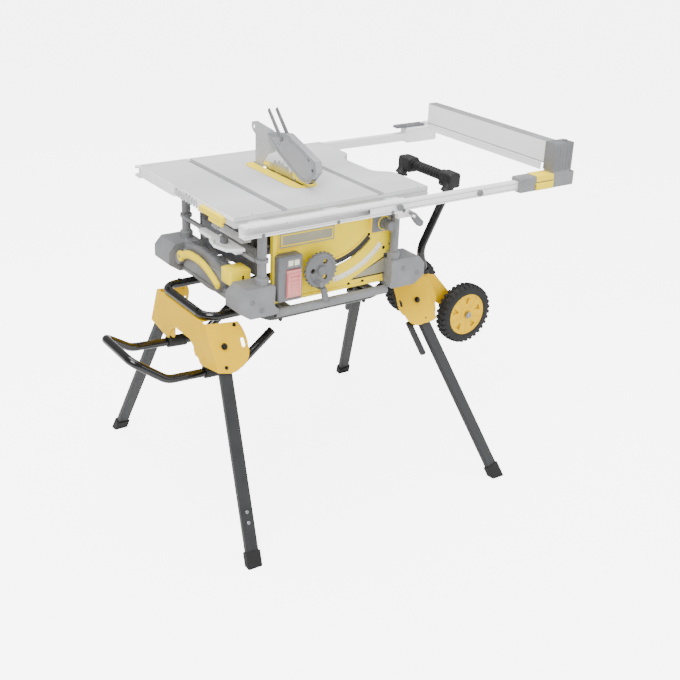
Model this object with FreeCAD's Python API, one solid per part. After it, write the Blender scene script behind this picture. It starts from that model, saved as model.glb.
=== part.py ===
import FreeCAD, Part
import math
import os
from FreeCAD import Vector as V

# Portable table saw on a folding rolling stand. Millimetres, +Z up.
# Origin: on the floor, at the middle of the stand. +X runs along the stand towards the wheels and the
# extended fence, -Y is the side where the operator stands.

os.makedirs("parts", exist_ok=True)

# ---- driving dimensions: stand -------------------------------------------------------------------
tube_r = 12.7
tube_wall = 2.0
hoop_y = 140.0
hoop_low_z = 590.0
hoop_high_z = 628.0
hoop_left_x = -424.0
hoop_right_x = 325.0
sheet = 3.0

leg_lean = 28.0
leg_width = 38.0
leg_thick = 18.0
leg_wall = 2.0
leg_top = 28.0
leg_gap = 5.0
bolt_r = 5.0
bore_play = 0.06
left_bolt = V(-395.0, -185.0, 552.0)
right_bolt = V(313.0, -158.0, 544.0)
left_splay = 5.4
right_splay = 13.8
boot_height = 48.0
boot_wall = 4.0
boot_sole = 10.0

wheel_r = 102.0
hub_r = 71.0
wheel_y0 = 120.0
wheel_y1 = 165.0
axle_r = 6.0
axle_x = 530.0
axle_z = 451.0

lift_r = 12.7
socket_r = 18.0

# ---- driving dimensions: saw ---------------------------------------------------------------------
table_z = 946.7
table_thick = 10.0
apron = 30.0
table_left = -388.0
table_right = 261.0
table_front = -238.5
table_back = 345.0
slot_wide = 19.0
slot_deep = 6.5
left_slot_x = -232.0
right_slot_x = 92.0

post_r = 13.5
cage_left = -287.0
cage_right = 169.0
cage_front = -212.0
cage_rear = 250.0
base_z = 620.0
moulding_low = 641.0
moulding_top = 736.0

panel_x0 = -248.0
panel_x1 = 181.0
panel_y = -196.0
panel_z0 = 657.0
panel_z1 = 905.0

blade_x = -62.0
blade_y = 66.0
blade_z = 861.7
blade_r = 125.0
blade_thick = 2.4
tilt_z = 945.0
crank_x = -101.0
crank_z = 745.0
crank_r = 52.0
motor_y = -10.0
motor_z = 775.0
guard_y = 112.0
guard_z = 1050.0

throat_x0 = -106.0
throat_x1 = -16.0
throat_y0 = -92.0
throat_y1 = 226.0
throat_r = 34.0
throat_thick = 5.0

rail_z0 = 900.0
rail_z1 = 934.0
front_rail_y0 = -292.0
front_rail_y1 = -262.0
rear_rail_y0 = 362.0
rear_rail_y1 = 392.0
rail_start = 20.0
rail_end = 745.0
guide_end = 150.0

fence_x = 729.0
fence_wide = 31.0
fence_y0 = -257.0
fence_y1 = 352.0
fence_z0 = 959.0
fence_z1 = 1030.0


# ---- helpers ---------------------------------------------------------------------------------------
def save(name, *solids):
    """Write one node; several separate solids go in as a compound."""
    shape = solids[0] if len(solids) == 1 else Part.makeCompound(list(solids))
    shape.exportStep("parts/" + name + ".step")
    print(name, len(shape.Solids), shape.isValid())


def box(x0, x1, y0, y1, z0, z1):
    return Part.makeBox(x1 - x0, y1 - y0, z1 - z0, V(x0, y0, z0))


def soft_box(x0, x1, y0, y1, z0, z1, r):
    body = box(x0, x1, y0, y1, z0, z1)
    return body.makeFillet(r, body.Edges)


def rod(a, b, r):
    return Part.makeCylinder(r, (b - a).Length, a, b - a)


def pipe(a, b, r, bore):
    return rod(a, b, r).cut(rod(a, b, bore))


def prism(points, direction):
    """Flat outline through 3D points, pushed along a direction."""
    return Part.Face(Part.makePolygon(points + [points[0]])).extrude(direction)


def mirror_y(shape):
    return shape.mirror(V(0, 0, 0), V(0, 1, 0))


def bent_path(points, radii):
    """Straight runs joined by tangent arcs; radii holds one radius for each inner point."""
    edges = []
    start = points[0]
    for i, r in enumerate(radii):
        corner = points[i + 1]
        back = (points[i] - corner).normalize()
        ahead = (points[i + 2] - corner).normalize()
        half = back.getAngle(ahead) / 2
        reach = r / math.tan(half)
        enter = corner + back * reach
        leave = corner + ahead * reach
        middle = (back + ahead).normalize()
        crown = corner + middle * (r / math.sin(half) - r)
        edges.append(Part.LineSegment(start, enter).toShape())
        edges.append(Part.Arc(enter, crown, leave).toShape())
        start = leave
    edges.append(Part.LineSegment(start, points[-1]).toShape())
    return Part.Wire(edges)


def swept(points, radii, r):
    path = bent_path(points, radii)
    direction = points[1] - points[0]
    ring = Part.Wire([Part.makeCircle(r, points[0], direction)])
    return path.makePipeShell([ring], True, False)


def bent_tube(points, radii, r, wall):
    return swept(points, radii, r).cut(swept(points, radii, r - wall))


class Plate:
    """Frame of a leaning flap: u runs inward or outward along X, s down the slope, n through it."""

    def __init__(self, origin, lean):
        angle = math.radians(lean)
        self.origin = origin
        self.s = V(0, -math.sin(angle), -math.cos(angle))
        self.n = V(0, math.cos(angle), -math.sin(angle))

    def at(self, x, s, n):
        return V(x, self.origin.y, self.origin.z) + self.s * s + self.n * n

    def solid(self, outline, n0, n1):
        """outline: list of (x, s) points, or (x, s, x, s) for an arc through the first to the second."""
        edges = []
        last = self.at(outline[0][0], outline[0][1], n0)
        first = last
        for item in outline[1:] + [outline[0][:2]]:
            end = self.at(item[-2], item[-1], n0)
            if len(item) == 4:
                edges.append(Part.Arc(last, self.at(item[0], item[1], n0), end).toShape())
            elif (end - last).Length > 0.01:
                edges.append(Part.LineSegment(last, end).toShape())
            last = end
        return Part.Face(Part.Wire(edges)).extrude(self.n * (n1 - n0))

    def hole(self, x, s, r, n0=-20, n1=20):
        return rod(self.at(x, s, n0), self.at(x, s, n1), r)


left_plate = Plate(left_bolt, leg_lean)
right_plate = Plate(right_bolt, leg_lean + 1.0)


# ---- stand: frame hoops ----------------------------------------------------------------------------
def hoop_points():
    left = [V(0, -hoop_y, hoop_low_z), V(-215, -hoop_y, hoop_low_z), V(-290, -hoop_y, hoop_high_z),
            V(hoop_left_x, -hoop_y, hoop_high_z), V(hoop_left_x, hoop_y, hoop_high_z),
            V(-290, hoop_y, hoop_high_z), V(-215, hoop_y, hoop_low_z), V(0, hoop_y, hoop_low_z)]
    right = [V(0, -hoop_y, hoop_low_z), V(150, -hoop_y, hoop_low_z), V(222, -hoop_y, hoop_high_z),
             V(hoop_right_x, -hoop_y, hoop_high_z), V(hoop_right_x, hoop_y, hoop_high_z),
             V(222, hoop_y, hoop_high_z), V(150, hoop_y, hoop_low_z), V(0, hoop_y, hoop_low_z)]
    return left, right


hoop_bends = [60, 60, 45, 45, 60, 60]


def frame_hoops():
    left, right = hoop_points()
    tube = bent_tube(left, hoop_bends, tube_r, tube_wall)
    save("frame_hoop", tube.fuse(bent_tube(right, hoop_bends, tube_r, tube_wall)))


def solid_hoops():
    """The hoops without their bore, to cut seats for whatever bears on them."""
    left, right = hoop_points()
    return swept(left, hoop_bends, tube_r).fuse(swept(right, hoop_bends, tube_r))


# ---- stand: left bracket ---------------------------------------------------------------------------
flap_top = -72.0
flap_low = 70.0
web_top_x = -438.0
web_slant = 0.06


def fold_x(s):
    return web_top_x + web_slant * (s - flap_top)


def left_bracket():
    flap = left_plate.solid([
        (fold_x(flap_top), flap_top), (-334, -62), (-321, -28, -319, 10), (-328, 48, -358, 70),
        (-376, 77, -396, 78), (fold_x(flap_low), flap_low)], -sheet, 0)
    slot = left_plate.hole(-333, -8, 6).fuse(left_plate.hole(-333, 8, 6))
    slot = slot.fuse(left_plate.solid([(-339, -8), (-327, -8), (-327, 8), (-339, 8)], -20, 20))
    flap = flap.cut(slot).cut(left_plate.hole(-402, 60, 3.5)).cut(left_plate.hole(-348, -54, 3.2))
    flap = flap.cut(left_plate.hole(left_bolt.x, 0, bolt_r + 0.1))
    top = left_plate.at(fold_x(flap_top), flap_top, -sheet)
    low = left_plate.at(fold_x(flap_low), flap_low, -sheet)
    half = []
    for x_y_z in ((top.y, top.z), (low.y, low.z), (-116, 472), (-103, 474), (-83, 505), (-48, 531)):
        drop = top.z - x_y_z[1]
        x = web_top_x + (fold_x(flap_low) - web_top_x) * drop / (top.z - low.z)
        half.append(V(x, x_y_z[0], x_y_z[1]))
    outline = half + [V(p.x, -p.y, p.z) for p in reversed(half)]
    web = prism(outline, V(sheet, 0, 0.2))
    flange = box(web_top_x + 1, web_top_x + 34, -126, 126, hoop_high_z - tube_r - 3.0, hoop_high_z - tube_r)
    gusset = prism([V(-427, -62, 540), V(-427, -62, 500), V(-427, -72, 486), V(-427, -138, 486), V(-427, -138, 520)],
                   V(4, 0, 0))
    gusset = gusset.fuse(box(-431, -423, -138, -118, 500, 520))
    body = web.fuse(flap).fuse(mirror_y(flap)).fuse(flange).fuse(gusset).fuse(mirror_y(gusset))
    save("left_bracket", body)


# ---- stand: right bracket --------------------------------------------------------------------------
def right_bracket():
    flap = right_plate.solid([
        (240, -54), (366, -77), (371, 72), (350, 77, 320, 77), (282, 74, 257, 42), (241, 20, 240, -4)], -sheet, 0)
    slot = right_plate.hole(252, -7, 5.5).fuse(right_plate.hole(252, 7, 5.5))
    slot = slot.fuse(right_plate.solid([(246.5, -7), (257.5, -7), (257.5, 7), (246.5, 7)], -20, 20))
    flap = flap.cut(slot).cut(right_plate.hole(333, 62, 3.2)).cut(right_plate.hole(right_bolt.x, 0, bolt_r + 0.1))
    turn = math.radians(35.0)
    outline = [(366, -77), (396, -62), (419, -14), (419, 8), (404, 16), (396, 28), (392, 40), (371, 72)]
    points = []
    for x, down in outline:
        reach = (x - 366) / math.cos(turn)
        points.append(right_plate.at(366, down, -sheet) + V(math.cos(turn), 0, 0) * reach
                      + right_plate.n * (math.sin(turn) * reach))
    wing = prism(points, right_plate.n * sheet)
    eye = right_plate.at(380, 50, 0)
    wing = wing.cut(rod(eye - right_plate.n * 20, eye + right_plate.n * 30, 3.2))
    half = flap.fuse(wing)
    web = box(368, 371, -128, 128, 545, 612)
    top = box(300, 371, -128, 128, 612, hoop_high_z - tube_r)
    save("right_bracket", half.fuse(mirror_y(half)).fuse(web).fuse(top))


# ---- stand: lift handle and sockets ---------------------------------------------------------------
arm_near = V(-312, -120, 446)
arm_far = V(-542, -124, 458)


def lift_handle():
    half = [V(-196, -120, 537), arm_near, arm_far, V(-637, -98, 523)]
    points = half + [V(p.x, -p.y, p.z) for p in reversed(half)]
    save("lift_handle", bent_tube(points, [45, 60, 34, 34, 60, 45], lift_r, 1.8))
    along = (arm_far - arm_near).normalize()
    sockets = []
    for side in (-1, 1):
        a = arm_near + along * 52
        b = arm_near + along * 112
        tab = box(-422.9, -418.9, -134, -106, 455, 505)
        part = rod(a, b, socket_r).fuse(tab).cut(rod(a - along * 5, b + along * 5, lift_r + 0.05))
        sockets.append(part if side < 0 else mirror_y(part))
    save("lift_handle_sockets", *sockets)


# ---- stand: legs -----------------------------------------------------------------------------------
def leg_axes(plate, splay, outward):
    """Unit vectors along and across a leg that leans down the plate and splays along X."""
    angle = math.radians(splay)
    along = plate.s * math.cos(angle) + V(outward, 0, 0) * math.sin(angle)
    across = V(outward, 0, 0) * math.cos(angle) - plate.s * math.sin(angle)
    return along, across


def leg_block(plate, bolt_x, splay, outward, t0, t1, half_w, n0, n1, w_shift=0.0):
    """Block along the leg: t along it from the pivot, width across, n through the plate."""
    along, across = leg_axes(plate, splay, outward)
    pivot = plate.at(bolt_x, 0, 0)
    base = pivot + along * t0 + plate.n * n0 + across * w_shift
    corners = [base - across * half_w, base + across * half_w,
               base + across * half_w + plate.n * (n1 - n0), base - across * half_w + plate.n * (n1 - n0)]
    return prism(corners, along * (t1 - t0))


def leg_length(plate, bolt_z, splay, outward):
    along, across = leg_axes(plate, splay, outward)
    return bolt_z / -along.z


def boot_shape(plate, bolt_x, splay, outward, length):
    n0 = leg_gap
    n1 = leg_gap + leg_thick
    outer = leg_block(plate, bolt_x, splay, outward, length - boot_height, length + 30,
                      leg_width / 2 + boot_wall, n0 - boot_wall, n1 + boot_wall)
    along, across = leg_axes(plate, splay, outward)
    edges = []
    for edge in outer.Edges:
        run = edge.Vertexes[1].Point - edge.Vertexes[0].Point
        if abs(run.normalize().dot(along)) > 0.99:
            edges.append(edge)
    outer = outer.makeFillet(4.5, edges)
    pocket = leg_block(plate, bolt_x, splay, outward, length - boot_height - 1, length - boot_sole,
                       leg_width / 2, n0, n1)
    pocket = pocket.cut(ground(boot_sole - 1))
    return outer.cut(pocket).cut(ground(0))


def ground(height):
    """Everything below a height, to trim the feet level with the floor."""
    return box(-900, 900, -900, 900, -200, height)


def leg_tube(plate, bolt_x, splay, outward, t0, t1):
    n0 = leg_gap
    n1 = leg_gap + leg_thick
    shell = leg_block(plate, bolt_x, splay, outward, t0, t1, leg_width / 2, n0, n1)
    along, across = leg_axes(plate, splay, outward)
    long_edges = []
    for edge in shell.Edges:
        run = edge.Vertexes[1].Point - edge.Vertexes[0].Point
        if abs(run.normalize().dot(along)) > 0.99:
            long_edges.append(edge)
    shell = shell.makeFillet(3.0, long_edges)
    core = leg_block(plate, bolt_x, splay, outward, t0 - 1, t1 + 1, leg_width / 2 - leg_wall,
                     n0 + leg_wall, n1 - leg_wall)
    return shell.cut(core).cut(plate.hole(bolt_x, 0, bolt_r + bore_play, -5, 40))


def lever_lug(plate, bolt_x, splay, outward):
    n0 = leg_gap + leg_thick
    return leg_block(plate, bolt_x, splay, outward, 50, 72, 32, n0, n0 + 2, -22)


def legs():
    ends = [(left_plate, left_bolt, left_splay, -1), (right_plate, right_bolt, right_splay, 1)]
    for plate, bolt, splay, outward in ends:
        length = leg_length(plate, bolt.z, splay, outward)
        whole = leg_tube(plate, bolt.x, splay, outward, -leg_top, length - boot_sole - 1)
        whole = whole.cut(ground(boot_sole - 1))
        along, across = leg_axes(plate, splay, outward)
        boot = boot_shape(plate, bolt.x, splay, outward, length)
        if outward > 0:
            whole = whole.fuse(lever_lug(plate, bolt.x, splay, outward))
            pin_at = plate.at(bolt.x, 0, 0) + along * 60 - across * 42
            start = pin_at + plate.n * (leg_gap + leg_thick - 1)
            hole = rod(start, start + plate.n * 5, 3.0 + bore_play)
            whole = whole.cut(hole)
            lever = leg_block(plate, bolt.x, splay, outward, 52, 162, 8.5, leg_gap + leg_thick + 2.4,
                              leg_gap + leg_thick + 13, -42)
            tip = pin_at + along * 102 + plate.n * (leg_gap + leg_thick + 2.4)
            lever = lever.fuse(rod(tip, tip + plate.n * 10.6, 8.5))
            pin = rod(start, start + plate.n * 3.6, 3.0)
            lever = lever.fuse(pin)
            save("right_front_lock_lever", lever)
            save("right_rear_lock_lever", mirror_y(lever))
            save("right_front_leg", whole)
            save("right_front_boot", boot)
            save("right_rear_leg", mirror_y(whole))
            save("right_rear_boot", mirror_y(boot))
        else:
            cut_at = length - boot_height
            upper = leg_tube(plate, bolt.x, splay, outward, -leg_top, cut_at)
            n0 = leg_gap + leg_wall + 0.3
            n1 = leg_gap + leg_thick - leg_wall - 0.3
            inner = leg_block(plate, bolt.x, splay, outward, cut_at - 110, length - boot_sole - 1,
                              leg_width / 2 - leg_wall - 0.3, n0, n1)
            inner = inner.cut(leg_block(plate, bolt.x, splay, outward, cut_at - 111, length, leg_width / 2 - 5,
                                        n0 + 2, n1 - 2))
            save("left_front_leg", upper)
            inner = inner.cut(ground(boot_sole - 1))
            save("left_front_foot_tube", inner)
            levelling_boot = boot.fuse(boot_plug(plate, bolt.x, splay, outward, length, n0, n1))
            save("left_front_boot", levelling_boot)
            save("left_rear_leg", mirror_y(whole))
            save("left_rear_boot", mirror_y(boot))


def boot_plug(plate, bolt_x, splay, outward, length, n0, n1):
    """Rubber that fills the boot around the thinner levelling tube."""
    solid = leg_block(plate, bolt_x, splay, outward, length - boot_height, length - boot_sole, leg_width / 2,
                      leg_gap, leg_gap + leg_thick)
    hole = leg_block(plate, bolt_x, splay, outward, length - boot_height - 1, length - boot_sole,
                     leg_width / 2 - leg_wall - 0.3, n0, n1)
    return solid.cut(hole).cut(ground(boot_sole - 1))


def pivot_bolts():
    bolts = []
    for plate, x in ((left_plate, left_bolt.x), (right_plate, right_bolt.x)):
        shank = rod(plate.at(x, 0, -sheet - 5), plate.at(x, 0, leg_gap + leg_thick + 2.5), bolt_r)
        head = rod(plate.at(x, 0, -sheet - 5), plate.at(x, 0, -sheet), 8.5)
        nut = rod(plate.at(x, 0, leg_gap + leg_thick + 1.5), plate.at(x, 0, leg_gap + leg_thick + 6.5), 8.5)
        shoulder = rod(plate.at(x, 0, 0), plate.at(x, 0, leg_gap - 0.3), 11)
        bolt = shank.fuse(head).fuse(nut).fuse(shoulder)
        bolts += [bolt, mirror_y(bolt)]
    save("leg_pivot_bolts", *bolts)


# ---- stand: wheels, axle, transport handle ---------------------------------------------------------
def wheels():
    for name, side in (("front", -1), ("rear", 1)):
        outer = V(axle_x, side * wheel_y1, axle_z)
        inner = V(axle_x, side * wheel_y0, axle_z)
        tyre = rod(inner, outer, wheel_r)
        tyre = tyre.makeFillet(9.0, tyre.Edges[:1] + tyre.Edges[2:3])
        tyre = tyre.cut(rod(inner, outer, hub_r))
        hub = rod(inner + V(0, side * 3, 0), outer - V(0, side * 3, 0), hub_r)
        dish = rod(outer - V(0, side * 15, 0), outer, hub_r - 6).cut(rod(inner, outer, 24))
        dish_in = rod(inner, inner + V(0, side * 15, 0), hub_r - 6).cut(rod(inner, outer, 24))
        hub = hub.cut(dish).cut(dish_in)
        for i in range(5):
            angle = math.radians(90 + 72 * i)
            spot = V(axle_x + 46 * math.cos(angle), inner.y, axle_z + 46 * math.sin(angle))
            hub = hub.cut(rod(spot, spot + V(0, side * 45, 0), 11))
        hub = hub.cut(rod(inner, outer, axle_r + bore_play))
        save(name + "_tyre", tyre)
        save(name + "_wheel_hub", hub)
    ends = 172.0
    axle = rod(V(axle_x, -ends, axle_z), V(axle_x, ends, axle_z), axle_r)
    for side in (-1, 1):
        axle = axle.fuse(rod(V(axle_x, side * 165.4, axle_z), V(axle_x, side * 171.0, axle_z), 10))
        axle = axle.fuse(rod(V(axle_x, side * 105.0, axle_z), V(axle_x, side * 119.6, axle_z), 10))
    save("wheel_axle", axle)
    arms = []
    for side in (-1, 1):
        y = side * 100.0
        plate = prism([V(371, y, 606), V(371, y, 545), V(axle_x - 12, y, axle_z - 16), V(axle_x + 14, y, axle_z - 10),
                       V(axle_x + 14, y, axle_z + 12), V(430, y, 590)], V(0, side * 5, 0))
        foot = box(371, 400, min(y, y - side * 22), max(y, y - side * 22), 545, 549)
        plate = plate.fuse(foot)
        arms.append(plate.cut(rod(V(axle_x, -200, axle_z), V(axle_x, 200, axle_z), axle_r)))
    save("axle_arms", *arms)


def transport_handle():
    half = [V(372.0, -118, hoop_high_z - tube_r - 5), V(346, -118, 694), V(457, -118, 910)]
    points = half + [V(p.x, -p.y, p.z) for p in reversed(half)]
    below = box(320, 420, -160, 160, 580, hoop_high_z - tube_r)
    save("transport_handle", bent_tube(points, [70, 26, 26, 70], tube_r, tube_wall).cut(below))
    corners = []
    full = swept(points, [70, 26, 26, 70], tube_r)
    for side in (-1, 1):
        block = soft_box(433, 478, min(side * 74, side * 137), max(side * 74, side * 137), 884, 932, 9)
        corners.append(block.cut(full))
    rings = []
    sleeve = pipe(V(457, -66, 910), V(457, 66, 910), 15.5, tube_r)
    for i in range(9):
        y = -56 + 14 * i
        rings.append(pipe(V(457, y - 2.5, 910), V(457, y + 2.5, 910), 17, 15.4))
    for ring in rings:
        sleeve = sleeve.fuse(ring)
    save("handle_grip", sleeve, *corners)


# ---- saw: roll cage --------------------------------------------------------------------------------
def roll_cage():
    pads = []
    seat = solid_hoops()
    for x in (-180, 120):
        for side in (-1, 1):
            y = side * hoop_y
            pad = box(x - 25, x + 25, y - 15, y + 15, hoop_low_z + 6, base_z)
            bolt = rod(V(x, y, hoop_low_z - tube_r - 5), V(x, y, hoop_low_z - tube_r + 2), 6)
            pads.append(pad.cut(seat))
            pads.append(bolt.cut(seat))
    save("saw_mount_pads", *pads)
    z = base_z + post_r
    under = table_z - table_thick
    front = pipe(V(-244, cage_front, z), V(146, cage_front, z), post_r, post_r - 2)
    rear = pipe(V(-244, cage_rear, z), V(146, cage_rear, z), post_r, post_r - 2)
    left = pipe(V(-322, -156, 652), V(-322, 202, 652), 9, 7)
    right = pipe(V(230, -156, 652), V(230, 202, 652), 9, 7)
    base = front.fuse(rear)
    for x in (-180, 120):
        bar = box(x - 15, x + 15, cage_front, cage_rear, base_z, base_z + 8)
        for y in (cage_front, cage_rear):
            bar = bar.cut(rod(V(-300, y, z), V(300, y, z), post_r - 1))
        base = base.fuse(bar)
    save("cage_base", base, left, right)
    posts = []
    for x in (cage_left, cage_right):
        for y in (cage_front, cage_rear):
            posts.append(pipe(V(x, y, moulding_top - 8), V(x, y, under), post_r, post_r - 2))
    save("cage_posts", *posts)
    blocks = []
    for name, x0, x1 in (("left", -372.0, -244.0), ("right", 146.0, 272.0)):
        for end in ("front", "rear"):
            front_y, back_y = (-236.0, -156.0) if end == "front" else (202.0, 304.0)
            base = moulding_low
            inner_x = x1 - 14 if name == "left" else x0 + 3
            outer_x = x0 if name == "left" else x1
            toe_x = x1 if name == "left" else x0
            lift = 24 if name == "left" else -24
            outline = [V(toe_x, front_y, base), V(outer_x + lift * 1.5, front_y, base),
                       V(outer_x, front_y, base + 24), V(outer_x, front_y, 704), V(outer_x + lift, front_y, moulding_top - 6),
                       V(inner_x + lift * 0.1, front_y, moulding_top - 6), V(inner_x, front_y, 668), V(toe_x, front_y, 656)]
            block = prism(outline, V(0, back_y - front_y, 0))
            long_edges = [e for e in block.Edges if abs((e.Vertexes[1].Point - e.Vertexes[0].Point).normalize().y) > 0.99]
            block = block.makeFillet(8.0, long_edges)
            post_x = cage_left if name == "left" else cage_right
            post_y = cage_front if end == "front" else cage_rear
            collar = rod(V(post_x, post_y, moulding_top - 12), V(post_x, post_y, moulding_top + 6), post_r + 6)
            block = block.fuse(collar)
            block = block.cut(rod(V(post_x, post_y, moulding_top - 8), V(post_x, post_y, 800), post_r))
            blocks.append(block)
    save("corner_mouldings", *blocks)


# ---- saw: casing and front panel -------------------------------------------------------------------
def slot_cut(r_in, r_out, a0, a1, y0, y1):
    """Curved slot about the tilt axis, angles measured from straight down towards +X."""
    def spot(r, a):
        return V(blade_x + r * math.sin(math.radians(a)), y0, tilt_z - r * math.cos(math.radians(a)))
    mid = (a0 + a1) / 2
    edges = [Part.Arc(spot(r_out, a0), spot(r_out, mid), spot(r_out, a1)).toShape(),
             Part.LineSegment(spot(r_out, a1), spot(r_in, a1)).toShape(),
             Part.Arc(spot(r_in, a1), spot(r_in, mid), spot(r_in, a0)).toShape(),
             Part.LineSegment(spot(r_in, a0), spot(r_out, a0)).toShape()]
    return Part.Face(Part.Wire(edges)).extrude(V(0, y1 - y0, 0))


slot_r = math.hypot(crank_x - blade_x, crank_z - tilt_z)


def casing():
    panel = box(panel_x0, panel_x1, panel_y, panel_y + 5, panel_z0, panel_z1)
    panel = panel.cut(slot_cut(slot_r - 12, slot_r + 12, -15, 47, panel_y - 5, panel_y + 10))
    rim = box(panel_x0, panel_x1, panel_y - 4, panel_y, panel_z0, panel_z0 + 9)
    panel = panel.fuse(rim).cut(box(144, 200, -260, -150, 600, moulding_top + 8))
    panel = panel.cut(box(-260, -243.5, -260, -150, 600, 674))
    badge = box(-226, -38, panel_y - 4, panel_y, 818, 866)
    badge = badge.makeFillet(2.0, [e for e in badge.Edges if e.BoundBox.YMax < panel_y - 3.9])
    housing = soft_box(86, 148, -214, panel_y + 1, 826, 882, 4)
    stem_hole = rod(V(124, -180, 848), V(124, -230, 848), 6 + bore_play)
    save("front_panel", panel.fuse(badge).fuse(housing).cut(stem_hole))
    right_wall = box(panel_x1 - 3, panel_x1, panel_y + 5, 232, panel_z0, panel_z1)
    rear_wall = box(panel_x0, panel_x1, 232, 235, panel_z0, panel_z1)
    left_wall = box(panel_x0, panel_x0 + 3, -80, 232, panel_z0, 700)
    shell = right_wall.fuse(rear_wall).fuse(left_wall)
    port_at = V(60, 230, 705)
    shell = shell.cut(rod(port_at - V(0, 10, 0), port_at + V(0, 10, 0), 29.5))
    for y0, y1 in ((-260, -154), (200, 306)):
        shell = shell.cut(box(144, 300, y0, y1, 600, moulding_top + 8))
        shell = shell.cut(box(-260, -243.5, y0, y1, 600, 674))
    port = pipe(V(60, 235, 705), V(60, 285, 705), 32.0, 29.5)
    flange = pipe(V(60, 235, 705), V(60, 239, 705), 40.0, 29.5)
    save("saw_casing", shell.fuse(port).fuse(flange))


# ---- saw: table ------------------------------------------------------------------------------------
def table_outline(z):
    """Table edge seen from above; the right side has a shallow hand scoop."""
    back = table_back
    pts = [V(table_left, table_front, z), V(table_right, table_front, z), V(table_right, -78, z)]
    edges = [Part.LineSegment(pts[0], pts[1]).toShape(), Part.LineSegment(pts[1], pts[2]).toShape()]
    scoop_in = table_right - 50
    a = V(table_right, -78, z)
    b = V(scoop_in + 25, -47, z)
    c = V(scoop_in, -12, z)
    edges.append(Part.Arc(a, V(table_right - 9, -60, z), b).toShape())
    edges.append(Part.Arc(b, V(scoop_in + 8, -32, z), c).toShape())
    d = V(scoop_in, 118, z)
    e = V(scoop_in + 25, 153, z)
    f = V(table_right, 188, z)
    edges.append(Part.LineSegment(c, d).toShape())
    edges.append(Part.Arc(d, V(scoop_in + 8, 138, z), e).toShape())
    edges.append(Part.Arc(e, V(table_right - 9, 168, z), f).toShape())
    g = V(table_right, back, z)
    h = V(table_left, back, z)
    edges.append(Part.LineSegment(f, g).toShape())
    edges.append(Part.LineSegment(g, h).toShape())
    edges.append(Part.LineSegment(h, pts[0]).toShape())
    return Part.Wire(edges)


def pill(x0, x1, y0, y1, r, z0, z1):
    body = box(x0, x1, y0, y1, z0, z1)
    upright = [e for e in body.Edges if e.BoundBox.ZLength > (z1 - z0) - 0.01]
    return body.makeFillet(r, upright)


def table():
    top = Part.Face(table_outline(table_z - table_thick)).extrude(V(0, 0, table_thick))
    rim = Part.Face(table_outline(table_z - apron)).extrude(V(0, 0, apron - table_thick))
    hollow = box(table_left + 6, table_right - 56, table_front + 6, table_back - 6, table_z - apron - 1,
                 table_z - table_thick)
    hollow = hollow.fuse(box(table_right - 60, table_right - 6, table_front + 6, -84, table_z - apron - 1,
                             table_z - table_thick))
    hollow = hollow.fuse(box(table_right - 60, table_right - 6, 194, table_back - 6, table_z - apron - 1,
                             table_z - table_thick))
    body = top.fuse(rim.cut(hollow))
    for x in (left_slot_x, right_slot_x):
        body = body.cut(box(x - slot_wide / 2, x + slot_wide / 2, table_front - 1, table_back + 1,
                            table_z - slot_deep, table_z + 1))
    body = body.cut(pill(throat_x0, throat_x1, throat_y0, throat_y1, throat_r, table_z - throat_thick, table_z + 1))
    body = body.cut(pill(throat_x0 + 9, throat_x1 - 9, throat_y0 + 9, throat_y1 - 9, throat_r - 9,
                         table_z - 40, table_z))
    for i in range(7):
        y = 96 - 20 * i
        body = body.fuse(box(table_left - 3, table_left, y - 2.5, y + 2.5, table_z - apron, table_z - 6))
    for x in (-330, -90, 120):
        body = body.fuse(box(x - 22, x + 22, front_rail_y1, table_front + 3, 918, 932))
        body = body.fuse(box(x - 22, x + 22, table_back - 3, rear_rail_y0, 918, 932))
    save("table_top", body)
    plate = pill(throat_x0 + 0.3, throat_x1 - 0.3, throat_y0 + 0.3, throat_y1 - 0.3, throat_r - 0.3,
                 table_z - throat_thick, table_z)
    plate = plate.cut(box(blade_x - 6.5, blade_x + 11, -66, 218, table_z - 10, table_z + 5))
    save("throat_plate", plate)


# ---- saw: blade, tilting carriage and guard --------------------------------------------------------
def toothed_disc(teeth, y, z, x0, x1, r):
    points = []
    for i in range(teeth):
        a = 2 * math.pi * i / teeth
        step = 2 * math.pi / teeth
        for radius, shift in ((r, 0.0), (r - 1.5, 0.32 * step), (r - 8, 0.45 * step), (r - 7, 0.9 * step)):
            points.append(V(x0, y + radius * math.cos(a + shift), z + radius * math.sin(a + shift)))
    return prism(points, V(x1 - x0, 0, 0))


def blade_unit():
    half = blade_thick / 2
    disc = toothed_disc(30, blade_y, blade_z, blade_x - half, blade_x + half, blade_r)
    arbor_a = V(blade_x - 13, blade_y, blade_z)
    arbor_b = V(blade_x + 20, blade_y, blade_z)
    disc = disc.cut(rod(arbor_a, arbor_b, 8))
    save("blade", disc)
    arbor = rod(V(blade_x - 34, blade_y, blade_z), arbor_b, 8)
    arbor = arbor.fuse(rod(V(blade_x - half - 4, blade_y, blade_z), V(blade_x - half, blade_y, blade_z), 24))
    arbor = arbor.fuse(rod(V(blade_x + half, blade_y, blade_z), V(blade_x + half + 3, blade_y, blade_z), 24))
    arbor = arbor.fuse(rod(V(blade_x + half + 3, blade_y, blade_z), V(blade_x + half + 9, blade_y, blade_z), 13))
    save("arbor", arbor)


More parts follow.
